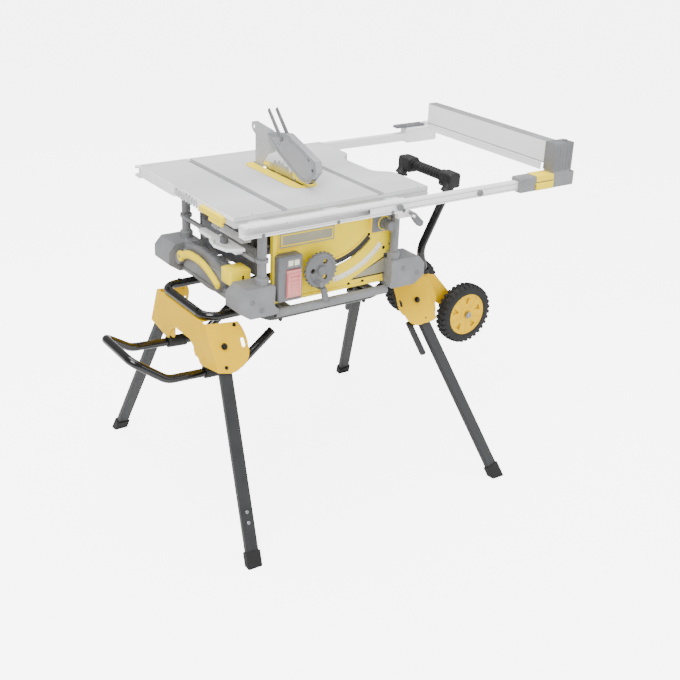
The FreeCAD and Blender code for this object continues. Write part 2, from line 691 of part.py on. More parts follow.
def carriage():
    plates = []
    for y in (-160.0, 200.0):
        plates.append(prism([V(-122, y, 922), V(-64, y, 922), V(-4, y, 862), V(-4, y, 735), V(-122, y, 715)], V(0, 6, 0)))
    lugs = []
    for y0, y1 in ((-154.0, -128.0), (174.0, 200.0)):
        lugs.append(box(-100, -70, y0, y1, 715, 723))
        lugs.append(box(-100, -70, y0, y1, 912, 922))
    spine = box(-16, -4, -154, 200, 735, 747)
    knife_slot = box(blade_x - 4, blade_x + 4, 195, 210, 750, 930)
    frame = plates[0].fuse(plates[1].cut(knife_slot)).fuse(spine)
    for lug in lugs:
        frame = frame.fuse(lug)
    shaft = rod(V(crank_x, -160, crank_z), V(crank_x, -205, crank_z), 7)
    frame = frame.fuse(shaft)
    for y in (-140.0, 187.0):
        frame = frame.fuse(rod(V(-85, y, 718), V(-85, y, 917), 7))
    save("tilt_frame", frame)
    gear = box(-98, -72, motor_y - 40, blade_y + 30, 800, 828)
    gear = gear.fuse(rod(V(-98, motor_y, motor_z), V(-72, motor_y, motor_z), 46))
    gear = gear.fuse(rod(V(-98, blade_y, blade_z), V(-72, blade_y, blade_z), 30))
    gear = gear.fuse(prism([V(-98, motor_y - 40, 795), V(-98, blade_y - 20, 884), V(-98, blade_y + 30, 852),
                            V(-98, motor_y + 44, 760)], V(26, 0, 0)))
    gear = gear.fuse(box(-98, -72, -156 + 4, 198, 800, 826))
    for y in (-140.0, 187.0):
        gear = gear.cut(rod(V(-85, y, 700), V(-85, y, 950), 7 + bore_play))
    clamp = box(-72, -63.6, 160, 196, 800, 826)
    gear = gear.fuse(clamp).cut(rod(V(-120, blade_y, blade_z), V(0, blade_y, blade_z), 8 + bore_play))
    save("gear_case", gear)
    motor = rod(V(-215, motor_y, motor_z), V(-98, motor_y, motor_z), 40)
    motor = motor.makeFillet(8, motor.Edges[:1] + motor.Edges[2:3])
    motor = motor.cut(box(-98, 0, -200, 200, 600, 900))
    save("motor", motor)


def riving_knife():
    """Steel plate behind the blade that carries the guard."""
    half = 1.6
    x = blade_x - half
    pts = [V(x, 168, 806), V(x, 196, 806), V(x, 213, 950), V(x, 214, 1036), V(x, 232, 1046), V(x, 238, 1058),
           V(x, 236, 1071), V(x, 205, 1079), V(x, 106, 1070), V(x, 96, 1050), V(x, 100, 1006), V(x, 140, 990), V(x, 168, 960)]
    knife = prism(pts, V(2 * half, 0, 0))
    knife = knife.cut(rod(V(x - 5, blade_y, blade_z), V(x + 10, blade_y, blade_z), blade_r + 6))
    knife = knife.cut(rod(V(x - 5, 224, 1058), V(x + 10, 224, 1058), 6))
    pin = rod(V(blade_x - 11.4, guard_y, guard_z), V(blade_x + 11.4, guard_y, guard_z), 5)
    save("riving_knife", knife.fuse(pin))


def guard():
    x0 = blade_x - 11
    x1 = blade_x + 11

    def side(grow, xa, xb):
        g = grow
        pts = [V(xa, 124 - g, 1062 - g), V(xa, 15, 1081 - g), V(xa, -88 + g * 0.4, 1050 - g),
               V(xa, -138 + g, 1034 - g), V(xa, -146 + g, 1004), V(xa, -104 + g, 961 + (0 if g == 0 else -6)),
               V(xa, -60, 961 + (0 if g == 0 else -6)), V(xa, 62, 1012 + (0 if g == 0 else -8)),
               V(xa, 118 - g, 1034 + (0 if g == 0 else -9))]
        return prism(pts, V(xb - xa, 0, 0))

    outer = side(0, x0, x1)
    inner = side(3, x0 + 2.6, x1 - 2.6)
    shell = outer.cut(inner)
    for y, z, r in ((-104, 1034, 6), (-126, 1006, 6)):
        shell = shell.cut(rod(V(x0 - 1, y, z), V(x1 + 1, y, z), r))
    shell = shell.cut(box(x0 + 2.6, x1 - 2.6, 85, 140, 1000, 1100))
    shell = shell.cut(rod(V(x0 - 5, guard_y, guard_z), V(x1 + 5, guard_y, guard_z), 5 + bore_play))
    for y0, y1 in ((x0 - 6.5, x0 + 1), (x1 - 1, x1 + 6.5)):
        shell = shell.fuse(rod(V(y0, 44, 1062), V(y1, 44, 1062), 3))
    save("guard_shell", shell)
    for name, xa, xb in (("left", x0 - 4.4, x0 - 0.8), ("right", x1 + 0.8, x1 + 4.4)):
        root = V(xa, 44, 1062)
        tip = V(xa, 116, 1134)
        d = (tip - root).normalize()
        w = V(0, -d.z, d.y)
        arm = prism([root - w * 8, tip - w * 6, tip + w * 6, root + w * 8], V(xb - xa, 0, 0))
        arm = arm.fuse(rod(root, root + V(xb - xa, 0, 0), 8))
        window = prism([root + d * 38 - w * 2.6, root + d * 88 - w * 2.2, root + d * 88 + w * 2.2, root + d * 38 + w * 2.6],
                       V(xb - xa, 0, 0))
        arm = arm.cut(window).cut(rod(root - V(5, 0, 0), root + V(10, 0, 0), 3 + bore_play))
        save("guard_arm_" + name, arm)


# ---- saw: controls ---------------------------------------------------------------------------------
def controls():
    y0 = -236.0
    y1 = -216.0
    ring = Part.makeTorus(crank_r - 7, 7, V(crank_x, (y0 + y1) / 2, crank_z), V(0, 1, 0))
    face = rod(V(crank_x, y0 + 6, crank_z), V(crank_x, y1 - 4, crank_z), crank_r - 9)
    boss = rod(V(crank_x, y0 + 1, crank_z), V(crank_x, -206, crank_z), 14)
    wheel = ring.fuse(face).fuse(boss)
    for i in range(3):
        a = math.radians(60 + 120 * i)
        spot = V(crank_x + 27 * math.cos(a), y0, crank_z + 27 * math.sin(a))
        wheel = wheel.cut(rod(spot, spot + V(0, 40, 0), 8))
    wheel = wheel.cut(rod(V(crank_x, -212, crank_z), V(crank_x, -200, crank_z), 7 + bore_play))
    knob_at = V(crank_x - 12, y0 + 6, crank_z - 34)
    knob = rod(knob_at, knob_at - V(0, 26, 0), 9)
    save("hand_wheel", wheel.fuse(knob))
    lever = pipe(V(crank_x, -205, crank_z), V(crank_x, -198.5, crank_z), 22, 7 + bore_play)
    upper = prism([V(crank_x - 12, -205, crank_z - 10), V(crank_x + 12, -205, crank_z - 10),
                   V(crank_x + 16, -205, crank_z - 62), V(crank_x - 2, -205, crank_z - 62)], V(0, -9, 0))
    upper = upper.cut(rod(V(crank_x, -230, crank_z), V(crank_x, -190, crank_z), 16.5))
    step = box(crank_x - 2, crank_x + 16, -238, -205, crank_z - 62, crank_z - 55)
    lower = prism([V(crank_x - 2, -238, crank_z - 55), V(crank_x + 16, -238, crank_z - 55),
                   V(crank_x + 24, -238, crank_z - 90), V(crank_x + 16, -238, crank_z - 99),
                   V(crank_x + 7, -238, crank_z - 94)], V(0, 9, 0))
    save("bevel_lock_lever", lever.fuse(upper).fuse(step).fuse(lower))
    switch = box(-242, -162, -224, panel_y, 668, 804)
    switch = switch.makeFillet(6, [e for e in switch.Edges if e.BoundBox.YLength > 20])
    switch = switch.cut(box(-216, -166, -230, -208, 674, 766))
    save("switch_box", switch)
    paddle = prism([V(-214, -212, 762), V(-214, -228, 760), V(-214, -232, 690), V(-214, -226, 677), V(-214, -216, 677)],
                   V(46, 0, 0))
    paddle = paddle.makeFillet(2, [e for e in paddle.Edges if e.BoundBox.XLength > 40])
    save("switch_paddle", paddle.fuse(rod(V(-215.5, -213, 762), V(-166.5, -213, 762), 3)))
    base = rod(V(124, -216, 848), V(124, -234, 848), 17)
    grip = rod(V(124, -234, 848), V(124, -256, 848), 14)
    stem = rod(V(124, -190, 848), V(124, -216, 848), 6)
    knob = base.fuse(grip).fuse(stem)
    for i in range(8):
        a = math.radians(45 * i)
        spot = V(124 + 18.5 * math.cos(a), -216, 848 + 18.5 * math.sin(a))
        knob = knob.cut(rod(spot, spot - V(0, 18, 0), 3.2))
    save("rip_adjust_knob", knob)
    lever = prism([V(158, -296, 894), V(176, -296, 894), V(208, -296, 862), V(206, -296, 850), V(194, -296, 848),
                   V(180, -296, 862)], V(0, 14, 0))
    long_edges = [e for e in lever.Edges if e.BoundBox.YLength > 13]
    lever = lever.makeFillet(4, long_edges)
    lever = lever.cut(rod(V(168, -300, 885), V(168, -270, 885), 4 + bore_play))
    save("rail_lock_lever", lever)


# ---- saw: rails and fence --------------------------------------------------------------------------
def rails():
    wall = 3.0
    guides = []
    runners = []
    for y0, y1, face in ((front_rail_y0, front_rail_y1, front_rail_y0 - 1), (rear_rail_y0, rear_rail_y1, rear_rail_y1 - 4)):
        outer = box(table_left, guide_end, y0, y1, rail_z0, rail_z1)
        outer = outer.cut(box(table_left - 1, guide_end + 1, y0 + wall, y1 - wall, rail_z0 + wall, rail_z1 - wall))
        outer = outer.cut(box(table_left - 1, guide_end + 1, face, face + wall + 2, 909, 925))
        guides.append(outer)
        rail = box(rail_start, rail_end, y0 + wall + 0.4, y1 - wall - 0.4, rail_z0 + wall + 0.4, rail_z1 - wall - 0.4)
        rail = rail.cut(box(rail_start - 1, rail_end + 1, y0 + wall + 3, y1 - wall - 3, rail_z0 + wall + 3,
                            rail_z1 - wall - 3))
        runners.append(rail)
    stay = box(128, 150, -276, -262, 876, rail_z0).fuse(box(150, 180, -276, -262, 876, 893))
    pin = rod(V(168, -302, 885), V(168, -270, 885), 4)
    guides[0] = guides[0].fuse(stay).fuse(pin)
    screw = rod(V(421, front_rail_y0 + 3.5, 917), V(421, front_rail_y0 - 2, 917), 7)
    runners[0] = runners[0].fuse(screw)
    save("rail_guides", *guides)
    save("telescoping_rails", *runners)


def fence():
    body = box(fence_x, fence_x + fence_wide, fence_y0, fence_y1, fence_z0, fence_z1)
    for z0, z1 in ((fence_z0 + 4, 992), (996, fence_z1 - 4)):
        body = body.cut(box(fence_x + 3, fence_x + fence_wide - 3, fence_y0 - 1, fence_y1 + 1, z0, z1))
    save("fence_body", body)
    end_cap = box(fence_x - 1, fence_x + fence_wide + 1, fence_y1, fence_y1 + 5, fence_z0 - 1, fence_z1 + 1)
    head = soft_box(706, 780, -304, fence_y0, 930, 1035, 7)
    rail_room = box(500, rail_end + 0.3, front_rail_y0 + 3, front_rail_y1 - 3, rail_z0 + 3, rail_z1 - 3)
    shoe = soft_box(576, 801, -302, -256, 896, 942, 4).cut(rail_room)
    shoe = shoe.fuse(head).cut(box(636, 712, -310, -297.4, 897, 922)).cut(rail_room)
    save("fence_front_head", shoe)
    rear_room = box(500, rail_end + 0.3, rear_rail_y0 + 3, rear_rail_y1 - 3, rail_z0 + 3, rail_z1 - 3)
    rear = soft_box(640, 770, rear_rail_y0 - 8, rear_rail_y1 + 8, 897, 950, 4).cut(rear_room)
    rear = rear.fuse(box(fence_x, fence_x + fence_wide, fence_y1 - 20, rear_rail_y1, 946, fence_z0)).fuse(end_cap)
    save("fence_rear_head", rear)
    latch = soft_box(640, 708, -309, -298, 898.5, 919.5, 2.5)
    save("fence_front_latch", latch.fuse(rod(V(637, -303.5, 919), V(711, -303.5, 919), 2.5)))
    rear_latch = soft_box(598, 716, rear_rail_y0 + 2, rear_rail_y1 - 2, 950.5, 958.5, 2)
    rear_latch = rear_latch.fuse(rod(V(716, rear_rail_y0 + 1, 954.5), V(716, rear_rail_y1 - 1, 954.5), 4.3))
    save("fence_rear_latch", rear_latch)
    strip = box(fence_x - 4, fence_x - 0.5, -224, 326, 936, 957)
    bead = rod(V(fence_x - 3.2, -224, 957.4), V(fence_x - 3.2, 326, 957.4), 2.4)
    save("flip_support", strip.fuse(bead))


# ---- saw: left side storage ------------------------------------------------------------------------
def storage():
    tray = box(-318, -252, -156, 202, 700, 706).fuse(box(-318, -312, -156, 202, 706, 742))
    arch_points = [V(-344, 176, 690), V(-344, 130, 722), V(-344, 20, 722), V(-344, -60, 684)]
    save("push_stick", swept(arch_points, [60, 90], 8))
    knob = rod(V(-352, 184, 690), V(-318, 184, 690), 17)
    cradle = soft_box(-336, -317, -60, 178, 664, 722, 4)
    holder = soft_box(-352, -290, -155, -96, 714, 758, 5)
    link = box(-308, -296, cage_front + 8, cage_rear - 8, 796, 806)
    for x, y in ((cage_left, cage_front), (cage_left, cage_rear)):
        link = link.fuse(pipe(V(x, y, 796), V(x, y, 806), post_r + 5, post_r))
    for y in (-100, 46):
        link = link.fuse(box(-330, -296, y - 6, y + 6, 796, 806))
    for y in (cage_front, cage_rear):
        link = link.cut(rod(V(cage_left, y, 780), V(cage_left, y, 820), post_r))
    shelf = tray.fuse(cradle).fuse(knob).fuse(holder).cut(swept(arch_points, [60, 90], 8.4))
    save("side_storage", shelf, link)
    gauge = box(-336, -314, -150, 72, 806, 815)
    head = prism([V(-312, -162, 815), V(-312, -20, 815), V(-360, -40, 815), V(-372, -90, 815), V(-360, -142, 815)],
                 V(0, 0, 9))
    save("mitre_gauge", gauge.fuse(head))
    clip = soft_box(table_left - 13, table_left + 0.0, -190, -58, 917, 935, 3)
    bumper = soft_box(table_left - 12, table_left + 0.0, -182, -110, 904, 916.5, 4)
    save("apron_clip", clip, bumper)


frame_hoops()
left_bracket()
right_bracket()
lift_handle()
legs()
pivot_bolts()
wheels()
transport_handle()
roll_cage()
casing()
table()
blade_unit()
carriage()
riving_knife()
guard()
controls()
rails()
fence()
storage()
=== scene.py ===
import bpy
import bmesh
import math
from mathutils import Matrix, Vector


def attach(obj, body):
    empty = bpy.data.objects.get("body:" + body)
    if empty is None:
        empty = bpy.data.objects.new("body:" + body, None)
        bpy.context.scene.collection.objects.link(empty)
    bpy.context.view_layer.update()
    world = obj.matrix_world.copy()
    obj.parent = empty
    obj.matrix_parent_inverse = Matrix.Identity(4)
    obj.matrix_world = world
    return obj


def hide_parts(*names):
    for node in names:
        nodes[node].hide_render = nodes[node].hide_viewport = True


# Looks of a portable table saw on a folding rolling stand. Metres, in the CAD row frame.
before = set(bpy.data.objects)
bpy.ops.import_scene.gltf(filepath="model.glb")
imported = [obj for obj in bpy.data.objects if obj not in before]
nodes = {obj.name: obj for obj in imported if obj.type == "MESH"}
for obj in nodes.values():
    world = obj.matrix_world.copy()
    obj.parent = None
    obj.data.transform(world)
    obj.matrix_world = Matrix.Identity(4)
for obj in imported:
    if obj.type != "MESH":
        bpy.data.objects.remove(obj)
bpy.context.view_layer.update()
MM = 0.001

# shared by every material: where the blotch noise turns from dark to light, and the lowest roughness
tone_start, tone_end = 0.32, 0.68
smoothest = 0.03

# places on the object, in mm
wheel_x, wheel_z = 530.0, 451.0            # transport wheel axis
wheel_y = 120.0                            # inner face of each wheel, either side of the middle
panel_face = -196.0                        # front face of the control panel
switch_face = -224.0                       # front face of the switch box
hand_wheel_x, hand_wheel_z = -101.0, 745.0
rip_knob_x, rip_knob_z = 124.0, 848.0
bevel_axis = (-62.0, 945.0)                # x and z of the axis that the blade tilts about
table_face = 946.5                         # milled top of the table
slot_centres = (-232.0, 92.0)              # x of the two mitre slots
post_spots = [(x, y) for x in (-287, 169) for y in (-212, 250)]
# leg pivots, and the direction each leg runs down from its pivot
leg_runs = {
    "left_front": ((-395, -185, 552), (-0.094108, -0.467388, -0.879029)),
    "left_rear": ((-395, 185, 552), (-0.094108, 0.467388, -0.879029)),
    "right_front": ((313, -158, 544), (0.238533, -0.470815, -0.849373)),
    "right_rear": ((313, 158, 544), (0.238533, 0.470815, -0.849373)),
}


def mm(*p):
    return Vector([v * MM for v in p])


# ---- materials -------------------------------------------------------------------------------------
def to_linear(hex_colour):
    """An sRGB hex colour as linear red, green, blue and a full alpha."""
    linear = []
    for i in (0, 2, 4):
        c = int(hex_colour[i:i + 2], 16) / 255
        linear.append(c / 12.92 if c <= 0.04045 else ((c + 0.055) / 1.055) ** 2.4)
    return (*linear, 1.0)


def node(tree, kind, settings=None, links=None):
    """One node with its settings and its input links; keys may be property names or input names."""
    n = tree.nodes.new(kind)
    for key, value in (settings or {}).items():
        if isinstance(key, str) and hasattr(n, key) and key not in ("inputs", "outputs"):
            setattr(n, key, value)
        else:
            n.inputs[key].default_value = value
    for key, source in (links or {}).items():
        tree.links.new(source, n.inputs[key])
    return n


def finish_material(name, dark, light, rough, blotch_mm, grain_mm, bump_mm, metallic=0.0, coat=0.0,
                    stretch=(1, 1, 1), ior=1.5, transmission=0.0, rough_var=0.08, specular_level=0.5):
    """Colour drifts between two close tones, roughness drifts with it, and a fine grain gives the bump."""
    m = bpy.data.materials.new(name)
    m.use_nodes = True
    t = m.node_tree
    t.nodes.clear()
    out = node(t, "ShaderNodeOutputMaterial")
    coords = node(t, "ShaderNodeTexCoord")
    spread = node(t, "ShaderNodeMapping", {"Scale": stretch}, {"Vector": coords.outputs["Object"]})
    blotch = node(t, "ShaderNodeTexNoise", {"Scale": 1 / (blotch_mm * MM), "Detail": 4.0, "Roughness": 0.6},
                  {"Vector": spread.outputs["Vector"]})
    grain = node(t, "ShaderNodeTexNoise", {"Scale": 1 / (grain_mm * MM), "Detail": 3.0, "Roughness": 0.55},
                 {"Vector": spread.outputs["Vector"]})
    tone = node(t, "ShaderNodeValToRGB", None, {"Fac": blotch.outputs["Fac"]})
    tone.color_ramp.elements[0].position = tone_start
    tone.color_ramp.elements[0].color = to_linear(dark)
    tone.color_ramp.elements[1].position = tone_end
    tone.color_ramp.elements[1].color = to_linear(light)
    gloss = node(t, "ShaderNodeMapRange",
                 {"To Min": max(smoothest, rough - rough_var), "To Max": rough + rough_var},
                 {"Value": blotch.outputs["Fac"]})
    bump = node(t, "ShaderNodeBump", {"Strength": 0.6, "Distance": bump_mm * MM},
                {"Height": grain.outputs["Fac"]})
    shader = node(t, "ShaderNodeBsdfPrincipled",
                  {"Metallic": metallic, "Coat Weight": coat, "Transmission Weight": transmission,
                   "Specular IOR Level": specular_level},
                  {"Base Color": tone.outputs["Color"], "Roughness": gloss.outputs["Result"],
                   "Normal": bump.outputs["Normal"]})
    if not metallic:
        shader.inputs["IOR"].default_value = ior
    t.links.new(shader.outputs["BSDF"], out.inputs["Surface"])
    return m


# ---- painted and coated metal
# powder-coated sheet steel: deep yellow, glossy, with a slight orange peel
yellow_coat = finish_material("yellow_powder_coat_gloss", "e8b800", "efc100", 0.45, 160, 1.8, 0.05,
                              specular_level=0.06)
# wet-look black enamel on round tube
black_enamel = finish_material("black_enamel_gloss", "0a0a0b", "111112", 0.2, 120, 1.5, 0.03, coat=0.25)
# satin charcoal powder coat on the rectangular steel legs, a little dusty
leg_coat = finish_material("charcoal_powder_coat_satin", "1e1f21", "28292b", 0.5, 60, 1.2, 0.05, rough_var=0.1)
# zinc-plated steel of the levelling section, paler than the legs
foot_coat = finish_material("grey_zinc_plated_steel", "58595c", "68696c", 0.42, 40, 1.0, 0.03, rough_var=0.1)
# painted cast aluminium of the table's side skirt
apron_alu = finish_material("painted_cast_apron", "f0f0f0", "f6f6f6", 0.5, 60, 1.6, 0.08)

# ---- rubber and plastic
# moulded rubber of the leg boots
boot_rubber = finish_material("moulded_boot_rubber", "0c0c0d", "151516", 0.7, 30, 1.2, 0.1)
# hard black rubber of the solid tyres
tyre_rubber = finish_material("black_tyre_rubber", "131314", "1e1e1f", 0.75, 35, 1.5, 0.12)
# moulded yellow nylon of the wheel hubs
hub_plastic = finish_material("yellow_moulded_hub_plastic", "eebd00", "f4c600", 0.5, 70, 1.0, 0.04,
                              specular_level=0.06)
# moulded yellow ABS of the saw's plates
pale_yellow = finish_material("pale_yellow_moulded_plate", "ffdf10", "ffe428", 0.5, 90, 1.1, 0.05,
                              specular_level=0.12)
# textured glass-filled nylon of the mouldings
grey_plastic = finish_material("grey_textured_nylon", "77787a", "848587", 0.6, 50, 0.9, 0.1)
# the same nylon in darker grey: casing, knobs and levers
dark_plastic = finish_material("dark_grey_textured_nylon", "68696c", "757679", 0.55, 50, 0.9, 0.08)
# black moulded grips and sleeves
grip_plastic = finish_material("black_moulded_grip_plastic", "101011", "1a1a1b", 0.6, 40, 0.9, 0.1)
# grey nylon of the fence heads
fence_dark = finish_material("fence_head_textured_nylon", "68696b", "727375", 0.6, 50, 0.9, 0.08)
# grey nylon frame round the guard's clear cheeks
guard_dark = finish_material("guard_frame_nylon", "7c7d80", "88898c", 0.5, 50, 0.9, 0.06)
# clear polycarbonate of the guard, slightly smoky
smoke = finish_material("smoky_clear_polycarbonate", "a3a4a8", "adaeb2", 0.2, 60, 2.5, 0.02, transmission=0.35,
                        ior=1.585)
# pale red moulded plastic of the stop paddle
pale_red = finish_material("pale_red_moulded_plastic", "e08a86", "e89691", 0.4, 40, 0.9, 0.04)
# dark print on the scales, marks and label rim; the same dark also stands as painted shade in holes, slots and
# gaps
print_and_painted_shade = finish_material("dark_print_and_painted_recess_shade", "2a2a2c", "333335", 0.7, 30, 1.0, 0.05)
# cream vinyl film of the scales
pale_scale = finish_material("printed_scale_film", "efe9cf", "f6f1dc", 0.4, 60, 1.5, 0.01)
# satin vinyl film of the blank badge and label
badge_dark = finish_material("blank_badge_satin_film", "8e8b77", "99967f", 0.45, 60, 1.2, 0.02)

# ---- bare metal
# milled and ground cast aluminium table, grind lines running along X
ground_alu = finish_material("ground_cast_aluminium", "c9cacb", "d6d7d8", 0.45, 180, 3.0, 0.02, metallic=0.1,
                             stretch=(0.06, 1.0, 1.0))
# as-cast aluminium at the table's edges
cast_edge = finish_material("cast_aluminium_edge", "c6c7c8", "d4d5d6", 0.55, 40, 1.6, 0.12, metallic=0.1)
# clear anodised aluminium extrusion of the rails and fence
bright_alu = finish_material("clear_anodised_aluminium", "f4f4f5", "fbfbfb", 0.4, 150, 2.0, 0.01, metallic=0.05,
                             stretch=(0.04, 0.04, 1.0))
# darker aluminium along the extrusions' edges and in their grooves: painted shade of the edges and grooves
edge_and_groove_shade = finish_material("aluminium_edge_and_groove_painted_shade", "a2a3a5", "aeafb1", 0.4, 60, 1.0, 0.02, metallic=0.3)
# darker aluminium on the mitre slot floors and along the slot edges: painted shade of the slots
slot_shade = finish_material("mitre_slot_painted_shade", "8e8f91", "9a9b9d", 0.4, 60, 1.0, 0.02, metallic=0.3)
# bright zinc-plated steel fasteners and axle
zinc = finish_material("bright_zinc_plated_steel", "8f9092", "a9aaac", 0.3, 20, 0.8, 0.03, metallic=0.9)
# black oxide steel bolts
bolt_dark = finish_material("black_oxide_bolt_steel", "1b1b1c", "29292a", 0.35, 15, 0.8, 0.04, metallic=0.7)
# ground steel of the blade
blade_steel = finish_material("ground_blade_steel", "a5a6a8", "bcbdbf", 0.28, 30, 0.6, 0.02, metallic=0.9)
# matt steel plate of the riving knife
knife_steel = finish_material("matt_grey_knife_steel", "a4a5a8", "b2b3b6", 0.5, 40, 0.8, 0.02, metallic=0.15)
# die-cast aluminium of the gear case and tilt frame
cast_metal = finish_material("die_cast_housing", "5a5b5d", "696a6c", 0.5, 30, 1.4, 0.12, metallic=0.6)
# black painted motor housing
motor_black = finish_material("black_motor_housing", "3a3b3d", "454648", 0.5, 30, 1.0, 0.08)

# the finish of each CAD part

looks = {
    "frame_hoop": black_enamel, "left_bracket": yellow_coat, "right_bracket": yellow_coat,
    "lift_handle": black_enamel, "lift_handle_sockets": grip_plastic, "leg_pivot_bolts": zinc,
    "wheel_axle": zinc, "axle_arms": yellow_coat,
    "transport_handle": black_enamel, "handle_grip": grip_plastic, "saw_mount_pads": grip_plastic,
    "cage_base": grey_plastic, "cage_posts": grey_plastic, "corner_mouldings": grey_plastic,
    "front_panel": pale_yellow, "saw_casing": dark_plastic, "table_top": ground_alu,
    "throat_plate": pale_yellow,
    "switch_box": dark_plastic, "rail_guides": bright_alu, "push_stick": pale_yellow,
    "side_storage": grey_plastic,
    "mitre_gauge": bright_alu, "apron_clip": pale_yellow, "left_front_leg": leg_coat,
    "left_rear_leg": leg_coat,
    "right_front_leg": leg_coat, "right_rear_leg": leg_coat, "left_front_foot_tube": foot_coat,
    "left_front_boot": boot_rubber, "left_rear_boot": boot_rubber, "right_front_boot": boot_rubber,
    "right_rear_boot": boot_rubber, "right_front_lock_lever": leg_coat, "right_rear_lock_lever": leg_coat,
    "front_tyre": tyre_rubber, "rear_tyre": tyre_rubber, "front_wheel_hub": hub_plastic,
    "rear_wheel_hub": hub_plastic,
    "telescoping_rails": bright_alu, "fence_body": bright_alu, "fence_front_head": grey_plastic,
    "fence_rear_head": bright_alu, "fence_front_latch": pale_yellow, "fence_rear_latch": dark_plastic,
    "flip_support": bright_alu, "rail_lock_lever": dark_plastic, "rip_adjust_knob": dark_plastic,
    "tilt_frame": cast_metal, "gear_case": cast_metal, "motor": motor_black, "riving_knife": knife_steel,
    "blade": blade_steel, "arbor": zinc, "guard_shell": smoke, "guard_arm_left": dark_plastic,
    "guard_arm_right": dark_plastic, "hand_wheel": dark_plastic, "bevel_lock_lever": dark_plastic,
    "switch_paddle": pale_red,
}
# width in mm of the small rounding on sharp edges
round_edges = {
    "left_bracket": 0.9, "right_bracket": 0.9, "corner_mouldings": 2.5, "table_top": 0.9, "front_panel": 0.8,
    "left_front_leg": 0.6, "axle_arms": 0.8, "fence_body": 0.8, "rail_guides": 0.6, "telescoping_rails": 0.5,
    "side_storage": 1.0, "saw_casing": 1.0, "switch_box": 1.0, "cage_base": 0.8, "riving_knife": 0.4,
    "hand_wheel": 1.0, "bevel_lock_lever": 1.0, "rail_lock_lever": 1.0, "mitre_gauge": 1.0,
    "handle_grip": 1.2, "fence_front_head": 0.6, "fence_rear_head": 0.6, "throat_plate": 0.4,
}
sharp_angle = 38                           # degrees; flatter edges are left alone
for name, obj in nodes.items():
    obj.data.materials.clear()
    obj.data.materials.append(looks[name])
    if name in round_edges:
        bevel = obj.modifiers.new("edge_round", "BEVEL")
        bevel.width = round_edges[name] * MM
        bevel.segments = 2
        bevel.limit_method = "ANGLE"
        bevel.angle_limit = math.radians(sharp_angle)
        bevel.harden_normals = False


# ---- camera, light, floor --------------------------------------------------------------------------
def place_camera():
    azimuth, elevation, roll = math.radians(-34.247), math.radians(24.323), math.radians(2.041)
    away = Vector((math.sin(azimuth) * math.cos(elevation), -math.cos(azimuth) * math.cos(elevation),
                   math.sin(elevation)))
    right = Vector((math.cos(azimuth), math.sin(azimuth), 0))
    up = away.cross(right)
    right_rolled = right * math.cos(roll) + up * math.sin(roll)
    up_rolled = up * math.cos(roll) - right * math.sin(roll)
    turn = Matrix((right_rolled, up_rolled, away)).transposed().to_4x4()
    data = bpy.data.cameras.new("main_view")
    data.sensor_width = 36.0
    data.lens = 57.52
    data.shift_x = 0.0199
    data.shift_y = -0.0022
    cam = bpy.data.objects.new("main_view", data)
    cam.matrix_world = Matrix.Translation(mm(-1720.3, -2647.1, 1846.0)) @ turn
    bpy.context.scene.collection.objects.link(cam)
    bpy.context.scene.camera = cam


def place_lights():
    world = bpy.data.worlds.new("white_studio")
    world.use_nodes = True
    t = world.node_tree
    sky = t.nodes["Background"]
    sky.inputs["Color"].default_value = (1, 1, 1, 1)
    rays = node(t, "ShaderNodeLightPath")
    # light of strength 1, dimmer for glossy rays by gloss_cut, and brighter as a backdrop by backdrop_lift
    gloss_cut, backdrop_lift = 0.55, 7.0
    shine = node(t, "ShaderNodeMath", {"operation": "MULTIPLY_ADD", 1: -gloss_cut, 2: 1.0},
                 {0: rays.outputs["Is Glossy Ray"]})
    seen = node(t, "ShaderNodeMath", {"operation": "MULTIPLY_ADD", 1: backdrop_lift},
                {0: rays.outputs["Is Camera Ray"], 2: shine.outputs["Value"]})
    t.links.new(seen.outputs["Value"], sky.inputs["Strength"])
    bpy.context.scene.world = world
    for name, where, size, power in (("key_softbox", (-2.4, -1.6, 3.8), 2.0, 190),
                                     ("fill_softbox", (2.6, -3.0, 1.6), 2.4, 60),
                                     ("top_softbox", (0.2, 0.6, 3.6), 2.6, 110)):
        lamp = bpy.data.lights.new(name, "AREA")
        lamp.size = size
        lamp.energy = power
        obj = bpy.data.objects.new(name, lamp)
        obj.location = where
        aim = Vector((0.0, 0.0, 0.6)) - Vector(where)
        obj.rotation_euler = aim.to_track_quat("-Z", "Y").to_euler()
        bpy.context.scene.collection.objects.link(obj)


def lit_paper():
    """White paper floor. It glows for camera rays only, so it reads as a white sweep and lights nothing."""
    m = finish_material("matt_white_studio_paper", "fafafa", "fdfdfd", 0.9, 400, 3, 0.01)
    t = m.node_tree
    shader = t.nodes["Principled BSDF"]
    rays = node(t, "ShaderNodeLightPath")
    paper_glow = 5.0
    glow = node(t, "ShaderNodeMath", {"operation": "MULTIPLY", 1: paper_glow},
                {0: rays.outputs["Is Camera Ray"]})
    shader.inputs["Emission Color"].default_value = (1, 1, 1, 1)
    t.links.new(glow.outputs["Value"], shader.inputs["Emission Strength"])
    return m


def place_floor():
    mesh = bpy.data.meshes.new("studio_floor")
    bm = bmesh.new()
    bmesh.ops.create_grid(bm, x_segments=2, y_segments=2, size=14)
    bm.to_mesh(mesh)
    bm.free()
    floor = bpy.data.objects.new("studio_floor", mesh)
    floor.data.materials.append(lit_paper())
    bpy.context.scene.collection.objects.link(floor)


# ---- mesh helpers ----------------------------------------------------------------------------------
# how a flat drawing is stood up on each side of the saw
FRONT = Matrix(((1, 0, 0), (0, 0, -1), (0, 1, 0))).to_4x4()      # drawn x to +X, y to +Z, thickness to -Y
LEFT = Matrix(((0, 0, -1), (-1, 0, 0), (0, 1, 0))).to_4x4()      # drawn x to -Y, y to +Z, thickness to -X
RIGHT = Matrix(((0, 0, 1), (1, 0, 0), (0, 1, 0))).to_4x4()       # drawn x to +Y, y to +Z, thickness to +X
FLAT = Matrix.Identity(4)                                        # drawn lying down, thickness to +Z
crease_angle = 32                          # degrees; sharper edges stay crisp


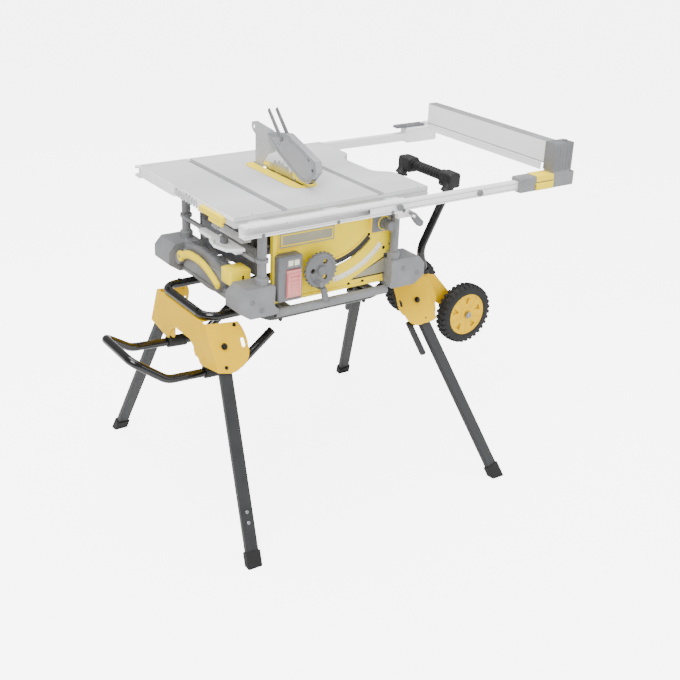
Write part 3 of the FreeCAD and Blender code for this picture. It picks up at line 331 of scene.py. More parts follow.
def add_piece(name, mesh, body, material):
    """A finished piece sits at the origin in the row frame and rides on one CAD body."""
    mesh.name = name
    obj = bpy.data.objects.new(name, mesh)
    bpy.context.scene.collection.objects.link(obj)
    mesh.materials.clear()
    mesh.materials.append(material)
    mesh.shade_smooth()
    bm = bmesh.new()
    bm.from_mesh(mesh)
    for edge in bm.edges:
        if len(edge.link_faces) == 2 and edge.calc_face_angle(0) > math.radians(crease_angle):
            edge.smooth = False
    bm.to_mesh(mesh)
    bm.free()
    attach(obj, body)
    return obj


def joined(meshes):
    bm = bmesh.new()
    for mesh in meshes:
        bm.from_mesh(mesh)
        bpy.data.meshes.remove(mesh)
    out = bpy.data.meshes.new("joined")
    bm.to_mesh(out)
    bm.free()
    return out


def curve_mesh(data):
    """The plain mesh of a curve."""
    holder = bpy.data.objects.new("curve", data)
    bpy.context.scene.collection.objects.link(holder)
    mesh = bpy.data.meshes.new_from_object(holder.evaluated_get(bpy.context.evaluated_depsgraph_get()))
    bpy.data.objects.remove(holder)
    return mesh


def cut_plate(loops, thick, rounding, turn, origin):
    """Filled outline with holes, its edges rounded; thickness grows from origin along the third axis."""
    data = bpy.data.curves.new("outline", "CURVE")
    data.dimensions = "2D"
    data.fill_mode = "BOTH"
    data.extrude = max(thick / 2 - rounding, 0.01) * MM
    data.bevel_depth = rounding * MM
    data.bevel_resolution = 2
    data.offset = -rounding * MM
    for loop in loops:
        line = data.splines.new("POLY")
        line.points.add(len(loop) - 1)
        for point, (x, y) in zip(line.points, loop):
            point.co = (x * MM, y * MM, 0, 1)
        line.use_cyclic_u = True
    mesh = curve_mesh(data)
    mesh.transform(Matrix.Translation(mm(*origin)) @ turn @ Matrix.Translation((0, 0, thick / 2 * MM)))
    return mesh


def turned(profile, steps, turn, origin):
    """Profile of (radius, height) mm spun about the third axis."""
    bm = bmesh.new()
    rings = []
    for i in range(steps):
        angle = 2 * math.pi * i / steps
        ring = []
        for r, h in profile:
            ring.append(bm.verts.new((r * MM * math.cos(angle), r * MM * math.sin(angle), h * MM)))
        rings.append(ring)
    for i in range(steps):
        a, b = rings[i], rings[(i + 1) % steps]
        for j in range(len(profile) - 1):
            bm.faces.new((a[j], b[j], b[j + 1], a[j + 1]))
    bmesh.ops.remove_doubles(bm, verts=bm.verts, dist=1e-6)
    bmesh.ops.recalc_face_normals(bm, faces=bm.faces)
    mesh = bpy.data.meshes.new("turned")
    bm.to_mesh(mesh)
    bm.free()
    mesh.transform(Matrix.Translation(mm(*origin)) @ turn)
    return mesh


def block(x0, x1, y0, y1, z0, z1, rounding=0.8):
    """Box between two corners with rounded edges."""
    bm = bmesh.new()
    bmesh.ops.create_cube(bm, size=1.0)
    for v in bm.verts:
        v.co = mm((x0 + x1) / 2 + v.co.x * (x1 - x0), (y0 + y1) / 2 + v.co.y * (y1 - y0),
                  (z0 + z1) / 2 + v.co.z * (z1 - z0))
    bmesh.ops.bevel(bm, geom=bm.edges[:] + bm.verts[:], offset=rounding * MM, segments=2, affect="EDGES",
                    profile=0.6)
    mesh = bpy.data.meshes.new("block")
    bm.to_mesh(mesh)
    bm.free()
    return mesh


def round_bar(points, radius):
    """Bent round bar or cable on one smooth line."""
    data = bpy.data.curves.new("bar", "CURVE")
    data.dimensions = "3D"
    data.bevel_depth = radius * MM
    data.bevel_resolution = 4
    data.use_fill_caps = True
    line = data.splines.new("NURBS")
    line.points.add(len(points) - 1)
    for point, p in zip(line.points, points):
        point.co = (*mm(*p), 1)
    line.order_u = 3
    line.use_endpoint_u = True
    line.resolution_u = 8
    return curve_mesh(data)


def facing(direction):
    """Turn that points the third axis along a direction."""
    return Vector(direction).to_track_quat("Z", "Y").to_matrix().to_4x4()


def bolt_head(at, direction, r, high):
    """Flanged hex head with a domed top."""
    turn = facing(direction)
    washer = turned([(0, 0), (r * 1.35, 0), (r * 1.35, 0.8), (r * 1.2, 1.3), (0, 1.3)], 32, turn, at)
    head = turned([(r, 1.3), (r, high * 0.8), (r * 0.86, high), (0, high)], 6, turn, at)
    return joined([washer, head])


def arc_band(r_in, r_out, start, end, steps, centre):
    """Outline of a curved band about the tilt axis; angles from straight down towards +X."""
    cx, cz = centre
    loop = []
    for r, order in ((r_out, range(steps + 1)), (r_in, range(steps, -1, -1))):
        for i in order:
            a = math.radians(start + (end - start) * i / steps)
            loop.append((cx + r * math.sin(a), cz - r * math.cos(a)))
    return loop


def rounded_rect(x0, x1, z0, z1, r, steps=5):
    loop = []
    for cx, cz, a0 in ((x1 - r, z1 - r, 0), (x0 + r, z1 - r, 90), (x0 + r, z0 + r, 180),
                       (x1 - r, z0 + r, 270)):
        for i in range(steps + 1):
            a = math.radians(a0 + 90 * i / steps)
            loop.append((cx + r * math.cos(a), cz + r * math.sin(a)))
    return loop


def circle(cx, cz, r, steps=24):
    angles = [2 * math.pi * i / steps for i in range(steps)]
    return [(cx + r * math.cos(a), cz + r * math.sin(a)) for a in angles]


def pill_loop(cx, cy, half_w, half_l, steps=12):
    """Outline of a long slot with round ends, its length along the second axis."""
    loop = []
    for end, first in ((1, 0), (-1, 180)):
        for i in range(steps + 1):
            a = math.radians(first + 180 * i / steps)
            loop.append((cx + half_w * math.cos(a), cy + end * (half_l - half_w) + half_w * math.sin(a)))
    return loop


def round_end(tip, before, half, steps=8):
    """Points of the half circle that closes a band at its tip."""
    along = (tip - before).normalized()
    across = Vector((-along.y, along.x))
    angles = [math.pi * i / steps for i in range(1, steps)]
    return [(tip + along * half * math.sin(a) + across * half * math.cos(a))[:] for a in angles]


def offset_band(points, half, passes=2):
    """Outline of a band of even width along a smoothed line, with round ends."""
    line = [Vector(p) for p in points]
    for _ in range(passes):
        finer = [line[0]]
        for a, b in zip(line, line[1:]):
            finer += [a.lerp(b, 0.25), a.lerp(b, 0.75)]
        line = finer + [line[-1]]
    left, right = [], []
    for i, p in enumerate(line):
        along = (line[min(i + 1, len(line) - 1)] - line[max(i - 1, 0)]).normalized()
        across = Vector((-along.y, along.x))
        left.append((p + across * half)[:])
        right.append((p - across * half)[:])
    return left + round_end(line[-1], line[-2], half) + right[::-1] + round_end(line[0], line[1], half)


# ---- repeats ---------------------------------------------------------------------------------------
def open_tree(name, inputs):
    """Geometry tree with a base mesh in, a mesh out and the named inputs between."""
    tree = bpy.data.node_groups.new(name, "GeometryNodeTree")
    tree.interface.new_socket("Geometry", in_out="OUTPUT", socket_type="NodeSocketGeometry")
    tree.interface.new_socket("Geometry", in_out="INPUT", socket_type="NodeSocketGeometry")
    for label, kind in inputs:
        tree.interface.new_socket(label, in_out="INPUT", socket_type="NodeSocket" + kind)
    return tree, node(tree, "NodeGroupInput"), node(tree, "NodeGroupOutput")


def close_tree(tree, copies, start, end):
    """Every tree ends in real geometry with its material on it."""
    real = node(tree, "GeometryNodeRealizeInstances", None, {"Geometry": copies})
    coloured = node(tree, "GeometryNodeSetMaterial", None,
                    {"Geometry": real.outputs["Geometry"], "Material": start.outputs["Finish"]})
    tree.links.new(coloured.outputs["Geometry"], end.inputs["Geometry"])
    return tree


def row_tree():
    """Copies of one unit along a straight step, each turned a little further about its own origin."""
    tree, start, end = open_tree("evenly_stepped_row",
                                 [("Unit", "Object"), ("Count", "Int"), ("First", "Vector"),
                                  ("Step", "Vector"), ("Turn", "Vector"), ("Finish", "Material")])
    unit = node(tree, "GeometryNodeObjectInfo", None, {"Object": start.outputs["Unit"]})
    line = node(tree, "GeometryNodeMeshLine", {"mode": "OFFSET"},
                {"Count": start.outputs["Count"], "Start Location": start.outputs["First"],
                 "Offset": start.outputs["Step"]})
    index = node(tree, "GeometryNodeInputIndex")
    spin = node(tree, "ShaderNodeVectorMath", {"operation": "SCALE"},
                {0: start.outputs["Turn"], "Scale": index.outputs["Index"]})
    copies = node(tree, "GeometryNodeInstanceOnPoints", None,
                  {"Points": line.outputs["Mesh"], "Instance": unit.outputs["Geometry"],
                   "Rotation": spin.outputs["Vector"]})
    return close_tree(tree, copies.outputs["Instances"], start, end)


def seat_tree():
    """One unit on each seat point of the base mesh, its third axis along that point's aim."""
    tree, start, end = open_tree("fasteners_on_seats", [("Unit", "Object"), ("Finish", "Material")])
    unit = node(tree, "GeometryNodeObjectInfo", None, {"Object": start.outputs["Unit"]})
    aim = node(tree, "GeometryNodeInputNamedAttribute", {"data_type": "FLOAT_VECTOR", "Name": "aim"})
    tilt = node(tree, "FunctionNodeAlignRotationToVector", {"axis": "Z"}, {"Vector": aim.outputs["Attribute"]})
    copies = node(tree, "GeometryNodeInstanceOnPoints", None,
                  {"Points": start.outputs["Geometry"], "Instance": unit.outputs["Geometry"],
                   "Rotation": tilt.outputs["Rotation"]})
    return close_tree(tree, copies.outputs["Instances"], start, end)


def grow(tree, base, unit_mesh, finish, values):
    """Runs a tree once and keeps the result as one plain mesh."""
    unit = bpy.data.objects.new("unit", unit_mesh)
    holder = bpy.data.objects.new("grown", base)
    bpy.context.scene.collection.objects.link(holder)
    mod = holder.modifiers.new("repeat", "NODES")
    mod.node_group = tree
    values = dict(values, Unit=unit, Finish=finish)
    for item in tree.interface.items_tree:
        if item.in_out == "INPUT" and item.name in values:
            mod[item.identifier] = values[item.name]
    result = bpy.data.meshes.new_from_object(holder.evaluated_get(bpy.context.evaluated_depsgraph_get()))
    holder.modifiers.remove(mod)
    bpy.data.objects.remove(holder)
    bpy.data.objects.remove(unit)
    return result


stepped_row = row_tree()
seated_set = seat_tree()


def row(unit_mesh, finish, count, first, step, turn=(0, 0, 0)):
    """A row of one unit: first and step in mm, turn in degrees for each step."""
    base = bpy.data.meshes.new("row_base")
    return grow(stepped_row, base, unit_mesh, finish,
                {"Count": count, "First": mm(*first)[:], "Step": mm(*step)[:],
                 "Turn": tuple(math.radians(a) for a in turn)})


def seated(unit_mesh, finish, seats):
    """seats: list of (point mm, direction); the unit is drawn at the origin along +Z."""
    base = bpy.data.meshes.new("seat_base")
    base.from_pydata([mm(*point) for point, aim in seats], [], [])
    aims = base.attributes.new("aim", "FLOAT_VECTOR", "POINT")
    for item, (point, aim) in zip(aims.data, seats):
        item.vector = Vector(aim).normalized()
    return grow(seated_set, base, unit_mesh, finish, {})


# ---- wheels ----------------------------------------------------------------------------------------
def wheel(side, label):
    """Treaded tyre, spoked hub and nut of one transport wheel; side is -1 at the front, 1 at the rear."""
    x, z = wheel_x, wheel_z
    turn = Matrix(((1, 0, 0), (0, 0, side), (0, 1, 0))).to_4x4()
    face = side * wheel_y
    profile = [(71, 2), (80, 0.6), (90, 1.5), (94, 4), (97, 7.5), (98.2, 12), (98.6, 22.5), (98.2, 33),
               (97, 37.5), (94, 41), (90, 43.5), (80, 44.4), (71, 43), (71, 2)]
    carcass = turned(profile, 128, turn, (x, face, z))
    place = Matrix.Translation(mm(x, face, z)) @ turn
    tread = []
    for low, high, lead in ((2.5, 20.5, 0.0), (24.5, 42.5, 5.6)):
        lug = block(88, 102, -5.4, 5.4, low, high, 1.4)
        outer = low if low < 10 else high
        for v in lug.vertices:                 # the lug's outer shoulder drops towards the sidewall
            if abs(v.co.z - outer * MM) < 5 * MM and v.co.x > 96 * MM:
                v.co.x -= 2.4 * MM
        lug.transform(Matrix.Rotation(math.radians(lead), 4, "Z"))
        band = row(lug, tyre_rubber, 32, (0, 0, 0), (0, 0, 0), (0, 0, 11.25))
        band.transform(place)
        tread.append(band)
    tyre = add_piece(label + "_tyre_with_tread", joined([carcass] + tread), "wheel_" + label,
                     tyre_rubber)
    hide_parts(label + "_tyre")
    parts = []
    holes = []
    for i in range(5):
        a = math.radians(18 + 72 * i)
        u, v = Vector((math.cos(a), math.sin(a))), Vector((-math.sin(a), math.cos(a)))
        opening = [u * 57 - v * 11, u * 57 + v * 11, u * 36 + v * 2, u * 36 - v * 2]
        holes.append([(p.x, p.y) for p in opening])
    parts.append(cut_plate([circle(0, 0, 66, 64)] + holes, 4.0, 1.0, turn, (x, face + side * 35.5, z)))
    parts.append(cut_plate([circle(0, 0, 66, 64)], 3.0, 0.6, turn, (x, face + side * 30.0, z)))
    rim = [(8.5, 3), (70.8, 3), (70.8, 41), (69, 43), (66, 42.5), (65, 38), (62, 32), (8.5, 32), (8.5, 3)]
    parts.append(turned(rim, 96, turn, (x, face, z)))
    boss = [(7, 34), (25, 38), (24, 41), (20, 43.5), (15, 44), (12.5, 41), (7, 41), (7, 34)]
    parts.append(turned(boss, 48, turn, (x, face, z)))
    rib = block(25, 63, -1.6, 1.6, 38.5, 41.5, 0.9)
    ribs = row(rib, hub_plastic, 5, (0, 0, 0), (0, 0, 0), (0, 0, 72))
    ribs.transform(place @ Matrix.Rotation(math.radians(54), 4, "Z"))
    parts.append(ribs)
    hub = add_piece(label + "_hub_disc", joined(parts), "wheel_" + label, hub_plastic)
    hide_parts(label + "_wheel_hub")
    cap = turned([(0, 46), (6, 46.5), (9.5, 49), (10, 50.5), (9.5, 51), (0, 51.2)], 24, turn, (x, face, z))
    add_piece(label + "_hub_nut", cap, "frame", bolt_dark)


# ---- front panel -----------------------------------------------------------------------------------
def front_panel_details():
    """Painted shade behind the bevel slot, the slot's lips, scale, blank plates, screws and folded edges of the
    control panel.
    """
    face = panel_face
    centre = bevel_axis
    # a dark sheet just behind the bevel slot: painted shade standing in for the dark inside the slot
    ring = arc_band(196, 212, -8, 46, 24, centre)
    insert = cut_plate([ring], 1.6, 0.4, FRONT, (0, face + 4.0, 0))
    add_piece("bevel_slot_shutter", insert, "frame", print_and_painted_shade)
    lips = []
    for r0, r1 in ((213.5, 218.5), (188, 193.2)):
        lips.append(cut_plate([arc_band(r0, r1, 3, 47, 28, centre)], 3.4, 1.2, FRONT, (0, face, 0)))
    add_piece("bevel_slot_lips", joined(lips), "frame", pale_yellow)
    strip = cut_plate([arc_band(246, 263, 6, 49, 30, centre)], 1.0, 0.3, FRONT, (0, face, 0))
    add_piece("bevel_scale_strip", strip, "frame", pale_scale)
    marks = []
    for length, count, gap in ((5, 24, 1.8), (9, 5, 9.0)):
        tick = block(-0.5, 0.5, face - 1.3, face - 0.9, -262, -262 + length, 0.1)
        tick.transform(Matrix.Rotation(math.radians(-7.5), 4, "Y"))
        fan = row(tick, print_and_painted_shade, count, (0, 0, 0), (0, 0, 0), (0, -gap, 0))
        fan.transform(Matrix.Translation(mm(centre[0], 0, centre[1])))
        marks.append(fan)
    add_piece("bevel_scale_marks", joined(marks), "frame", print_and_painted_shade)
    label = cut_plate([[(34, 684), (150, 729), (156, 684)]], 0.8, 0.3, FRONT, (0, face, 0))
    add_piece("blank_dark_label", label, "frame", badge_dark)
    rim_loops = [[(26, 678), (157, 740), (163, 678)], [(40, 683), (152, 732), (158, 683)]]
    rim = cut_plate(rim_loops, 0.5, 0.15, FRONT, (0, face, 0))
    add_piece("blank_label_rim", rim, "frame", print_and_painted_shade)
    plate = cut_plate([rounded_rect(-224, -40, 820, 864, 3)], 1.0, 0.3, FRONT, (0, face - 4.0, 0))
    add_piece("blank_badge_field", plate, "frame", badge_dark)
    border = cut_plate([rounded_rect(-219, -45, 824.5, 859.5, 2), rounded_rect(-215.5, -48.5, 828, 856, 1.5)],
                       1.2, 0.3, FRONT, (0, face - 4.8, 0))
    add_piece("blank_badge_border", border, "frame", pale_yellow)
    seats = [((x, face, z), (0, -1, 0))
             for x, z in ((-234, 884), (166, 884), (142, 762), (86, 812), (20, 668), (166, 770), (-30, 884),
                          (70, 668))]
    screws = seated(bolt_head((0, 0, 0), (0, 0, 1), 3.6, 3.0), bolt_dark, seats)
    add_piece("panel_screws", screws, "frame", bolt_dark)
    fold = [block(-248, -236, face - 9, face, 676, 900, 1.5), block(-234, -160, face - 3, face, 806, 813, 1.2),
            block(-248, 181, face - 5, face, 896, 905, 1.6), block(-236, -228, face - 4, face, 664, 806, 1.4)]
    add_piece("panel_side_rib", joined(fold), "frame", pale_yellow)
    housing = [block(84, 150, -216, -212, 822, 886, 2.4), block(88, 146, -219, -214, 876, 884, 1.6)]
    add_piece("knob_housing_face", joined(housing), "frame", dark_plastic)
    seat = turned([(18, 0), (21, 0), (21, 2), (19.5, 3), (18, 2)], 40, facing((0, -1, 0)),
                  (rip_knob_x, -216, rip_knob_z))
    add_piece("knob_seat_ring", seat, "frame", pale_yellow)


def switch_details():
    """Face ring, top plate, blank legend fields and paddle ribs of the switch box."""
    y = switch_face
    ring = cut_plate([rounded_rect(-240, -164, 670, 802, 5), rounded_rect(-216, -168, 676, 764, 3)], 1.6, 0.6,
                     FRONT, (0, y, 0))
    add_piece("switch_face", ring, "frame", dark_plastic)
    top = cut_plate([rounded_rect(-214, -170, 768, 796, 3)], 1.4, 0.4, FRONT, (0, y - 1.6, 0))
    add_piece("switch_top_plate", top, "frame", grey_plastic)
    fields = [cut_plate([rounded_rect(x, x + 16, 774, 790, 2)], 0.8, 0.2, FRONT, (0, y - 3.0, 0))
              for x in (-210, -190)]
    add_piece("switch_legend_fields", joined(fields), "frame", pale_scale)
    bars = row(block(-213, -169, -232.6, -226, -2.6, 2.6, 1.2), pale_red, 6, (0, 0, 688), (0, 0, 12))
    sides = [block(x, x + 7, -233.5, -226, 682, 752, 1.6) for x in (-213, -176)]
    add_piece("paddle_ribs", joined([bars] + sides), "stop_paddle", pale_red)


# ---- hand wheel and knobs --------------------------------------------------------------------------
def control_details():
    """Grip lobes and cap of the hand wheel, and the knurl of the rip knob."""
    lobe = block(50, 54.5, -6, 6, -2.2, 2.2, 1.6)
    grips = row(lobe, dark_plastic, 24, (0, 0, 0), (0, 0, 0), (0, 15, 0))
    grips.transform(Matrix.Translation(mm(hand_wheel_x, -226, hand_wheel_z)))
    cap = turned([(0, 0), (13, 0), (13, 2), (10, 3.4), (0, 3.6)], 36, facing((0, -1, 0)),
                 (hand_wheel_x, -235, hand_wheel_z))
    add_piece("hand_wheel_grip_lobes", joined([grips, cap]), "crank", dark_plastic)
    tooth = block(13.2, 15.2, -254, -236, -1.3, 1.3, 0.6)
    knurl = row(tooth, dark_plastic, 18, (0, 0, 0), (0, 0, 0), (0, 20, 0))
    knurl.transform(Matrix.Translation(mm(rip_knob_x, 0, rip_knob_z)))
    add_piece("rip_knob_knurl", knurl, "rip_knob", dark_plastic)


# ---- fasteners on the stand ------------------------------------------------------------------------
def stand_fasteners():
    """Pivot bolts, smaller bolts and the axle washers."""
    big, small = [], []
    for side in (1, -1):
        out = Vector((0, side * -0.8829, 0.4695))          # square to the bracket's sloping cheek
        for x, y, z in (leg_runs["left_front"][0], leg_runs["right_front"][0]):
            big.append((tuple(Vector((x, side * y, z)) + out * 7.6), out))
        for x, y, z in ((-348, -159.6, 599.7), (-402, -213.2, 499.0)):
            small.append((tuple(Vector((x, side * y, z)) + out * 3), out))
    for x, y in ((-370, -140), (-370, 140), (-430, -92), (-430, 92)):
        small.append(((x, y, 640.4), (0, 0, 1)))
    for x in (-180, 120):
        for y in (-140, 140):
            small.append(((x, y, 572.8), (0, 0, -1)))
    heads = [seated(bolt_head((0, 0, 0), (0, 0, 1), 7.2, 6.0), bolt_dark, big),
             seated(bolt_head((0, 0, 0), (0, 0, 1), 4.2, 3.8), bolt_dark, small)]
    add_piece("stand_bolts", joined(heads), "frame", bolt_dark)
    for side, label in ((-1, "front"), (1, "rear")):
        rim = turned([(7.2, 0), (10.4, 0), (10.4, 1.4), (9, 2.2), (7.2, 1.2)], 32, facing((0, side, 0)),
                     (wheel_x, side * 171.2, wheel_z))
        add_piece(label + "_axle_washer", rim, "frame", zinc)


def handle_details():
    """Moulded grip bends of the transport handle: fat at the corner, running a little along both arms."""
    for side, label in ((-1, "front"), (1, "rear")):
        y = side * 118.0
        sleeve = round_bar([(436, y, 873), (445, y, 890), (455, y, 910), (457, side * 104, 912),
                            (457, side * 84, 911), (457, side * 66, 910)], 18.5)
        ridge = turned([(16, 0), (20.4, 0), (21.2, 1.4), (20.4, 2.8), (16, 2.8)], 36, facing((0, side, 0)),
                       (0, 0, 0))
        ridges = row(ridge, grip_plastic, 4, (457, side * 70, 910), (0, side * 8, 0))
        cuff = turned([(13, 0), (20, 0), (21, 2), (21, 8), (19, 10), (13, 10)], 36, facing((-0.457, 0, -0.889)),
                      (441, y, 879))
        add_piece("corner_grip_" + label, joined([sleeve, ridges, cuff]), "frame",
                  grip_plastic)
    for side, label in ((-1, "front"), (1, "rear")):
        stop = turned([(10.9, 0), (14.4, 0), (14.4, 14), (12, 16), (10.9, 16)], 32, facing((0, side * 0.2, 1)),
                      (372, side * 118, 615.6))
        add_piece("handle_foot_collar_" + label, stop, "frame", grip_plastic)


# ---- table -----------------------------------------------------------------------------------------
def table_details():
    """Apron fins and skirt, front lip, screws, and the edge lines and floors of the mitre slots in painted
    shade.
    """
    fins = row(block(-393, -388, -2.0, 2.0, 914, 942, 0.8), cast_edge, 9, (0, 104, 0), (0, -16, 0))
    add_piece("apron_fins", fins, "frame", cast_edge)
    skirt = [block(-391, -388, 116, 344, 908.5, 944.5, 1.4), block(-391, -388, -236, 112, 934, 944.5, 1.4),
             block(-392, -388, 262, 268, 908.5, 944.5, 1.0), block(-390.6, -388, -60, -30, 908.5, 934, 1.2)]
    add_piece("apron_skirt", joined(skirt), "frame", apron_alu)
    front = [block(-388, 261, -241.5, -238.5, 917, 930, 1.0), block(-388, 261, -240.5, -238.5, 934, 942, 0.8)]
    add_piece("table_front_lip", joined(front), "frame", cast_edge)
    knob = turned([(0, 0), (17, 0), (18, 1.5), (18, 8.5), (17, 10), (0, 10)], 40, facing((-1, 0, 0)),
                  (-388.5, -147, 908))
    add_piece("apron_clip_knob", knob, "frame", grey_plastic)
    seats = [((x, y, table_face), (0, 0, 1))
             for x, y in ((-330, -232), (-82, -232), (230, -232), (-370, 320), (190, 330))]
    screw = turned([(0, 0.2), (1.4, 0.1), (1.6, 0.6), (3.2, 0.6), (3.8, 0.2), (0, 0.0)], 20, FLAT, (0, 0, 0))
    add_piece("table_set_screws", seated(screw, zinc, seats), "frame", zinc)
    rail_seats = [((x, -292, 904.5), (0, -1, 0)) for x in (-330, -90, 96, 136)]
    rail_screws = seated(bolt_head((0, 0, 0), (0, 0, 1), 4.2, 3.6), dark_plastic, rail_seats)
    add_piece("rail_screws", rail_screws, "frame", dark_plastic)
    # darker lines along the slot edges and darker slot floors: painted shade of the mitre slots
    edges = []
    for x in slot_centres:
        for side in (-1, 1):
            edge = x + side * 9.5
            edges.append(block(edge - 0.7, edge + 0.7, -238, 344.5, 946.2, 947.1, 0.2))
    add_piece("mitre_slot_chamfers", joined(edges), "frame", slot_shade)
    floors = [block(x - 9.3, x + 9.3, -238, 344.5, 940.25, 940.6, 0.1) for x in slot_centres]
    add_piece("mitre_slot_floors", joined(floors), "frame", slot_shade)


def rail_details():
    """Printed rule, groove lines in painted shade, and clamp knob of the rip rails."""
    fine = row(block(-0.35, 0.35, -292.35, -291.9, 926, 930, 0.1), print_and_painted_shade, 60, (-376, 0, 0), (8, 0, 0))
    long = row(block(-0.45, 0.45, -292.35, -291.9, 926, 932.5, 0.1), print_and_painted_shade, 12, (-376, 0, 0), (40, 0, 0))
    add_piece("rail_rule_marks", joined([fine, long]), "frame", print_and_painted_shade)
    # dark lines along the guide rail grooves: painted shade in the grooves
    lines = [block(-388, 150, y, y + 0.9, z, z + 1.6, 0.3) for y in (-292.8, 391.8) for z in (905.4, 926.4)]
    add_piece("guide_rail_groove_lines", joined(lines), "frame", edge_and_groove_shade)
    # dark lines along the runner's grooves: painted shade in the grooves
    runner = [block(22, 575, -288.9, -288.2, z, z + 1.6, 0.3) for z in (908, 924)]
    runner += [block(22, 640, 388.0, 388.8, z, z + 1.6, 0.3) for z in (908, 924)]
    add_piece("runner_groove_lines", joined(runner), "fence_unit", edge_and_groove_shade)
    for name, foot, body, at in (("runner_clamp_screw", 8, "fence_unit", (421, -288.6, 917)),
                                 ("guide_clamp_screw", 8.4, "frame", (120, -292, 917))):
        profile = [(0, 0), (foot, 0), (9.4, 1.5), (9.4, 7), (8, 9), (0, 9.6)]
        add_piece(name, turned(profile, 32, facing((0, -1, 0)), at), body, dark_plastic)


def throat_details():
    """Screws of the throat plate, and painted shade in its finger hole and in the gap round it."""
    seats = [((-62, y, 946.6), (0, 0, 1)) for y in (-78, 221)]
    screw = turned([(0, 0.1), (3.6, 0.4), (4.2, 0.0), (0, 0.0)], 20, FLAT, (0, 0, 0))
    # dark disc on the plate: painted shade standing in for the finger hole
    hole = cut_plate([circle(-34, -58, 9, 28)], 0.5, 0.1, FLAT, (0, 0, 946.5))
    add_piece("throat_plate_screws", seated(screw, zinc, seats), "frame", zinc)
    add_piece("throat_finger_hole", hole, "frame", print_and_painted_shade)
    # thin dark ring round the plate: painted shade in the gap
    rim = cut_plate([pill_loop(-61, 67, 44.5, 158.5), pill_loop(-61, 67, 43.3, 157.3)], 0.5, 0.1, FLAT,
                    (0, 0, 946.4))
    add_piece("throat_gap_line", rim, "frame", print_and_painted_shade)


# ---- guard -----------------------------------------------------------------------------------------
def guard_details():
    """Raised frames and rivets on both cheeks of the blade guard."""
    outline = [(-124, 1060), (-15, 1078), (86, 1048), (134, 1033), (142, 1006), (104, 966), (62, 966),
               (-58, 1016)]
    inner = [(-112, 1055), (-15, 1070), (84, 1041), (128, 1028), (134, 1006), (101, 973), (64, 973),
             (-54, 1023)]
    for label, turn, at in (("left", LEFT, -73.0), ("right", RIGHT, -51.0)):
        if label == "right":
            loops = [[(-x, z) for x, z in outline], [(-x, z) for x, z in inner]]
        else:
            loops = [outline, inner]
        rim = cut_plate(loops, 1.0, 0.3, turn, (at, 0, 0))
        add_piece("guard_rim_" + label, rim, "guard", guard_dark)
    rivet = turned([(0, 0.8), (3, 0.7), (4.4, 0), (0, 0)], 20, FLAT, (0, 0, 0))
    seats = []
    for y, z in ((-80, 1040), (0, 1062), (60, 1040), (-110, 980)):
        seats.append(((-73, y, z), (-1, 0, 0)))
        seats.append(((-51, y, z), (1, 0, 0)))
    add_piece("guard_rivets", seated(rivet, guard_dark, seats), "guard", guard_dark)


# ---- fence -----------------------------------------------------------------------------------------
def fence_details():
    """Ribbed head cover, edge strips and grooves in painted shade, yellow shoe top and latch skin of the rip
    fence.
    """
    front_ribs = row(block(0, 6, -306.5, -303, 950, 1026, 1.2), fence_dark, 5, (710, 0, 0), (14.5, 0, 0))
    side_ribs = row(block(779, 781.6, -2.4, 2.4, 950, 1026, 1.0), fence_dark, 4, (0, -296, 0), (0, 11, 0))
    add_piece("fence_head_ribs", joined([front_ribs, side_ribs]), "fence_unit", fence_dark)
    cover = block(704.6, 781.4, -305.4, -256, 948, 1036.4, 3.0)
    add_piece("fence_head_cover", cover, "fence_unit", fence_dark)
    cap = turned([(0, 0), (7, 0), (7, 5), (5.5, 7), (0, 7.4)], 24, facing((0, 0, 1)), (762, -284, 1034.5))
    add_piece("fence_head_screw_cap", cap, "fence_unit", dark_plastic)
    # dark strips along the fence's top edge and low on its face: painted shadow lines of the extrusion
    edge = [block(728, 761, -257, 352, 1028.5, 1031.5, 0.8), block(727.5, 729.5, -257, 352, 959, 963, 0.6)]
    add_piece("fence_edge_strips", joined(edge), "fence_unit", edge_and_groove_shade)
    # dark lines in the back grooves: painted shade in the grooves
    grooves = [block(760, 761.2, -250, 345, z, z + 3, 0.4) for z in (974, 990, 1006)]
    add_piece("fence_back_grooves", joined(grooves), "fence_unit", edge_and_groove_shade)
    shoe = block(640, 712, -303.6, -256, 924, 943.4, 2.0)
    add_piece("fence_shoe_yellow_top", shoe, "fence_unit", pale_yellow)
    skin = block(600, 714, 366, 388, 958.2, 960.4, 0.8)
    add_piece("rear_latch_skin", skin, "rear_latch", dark_plastic)


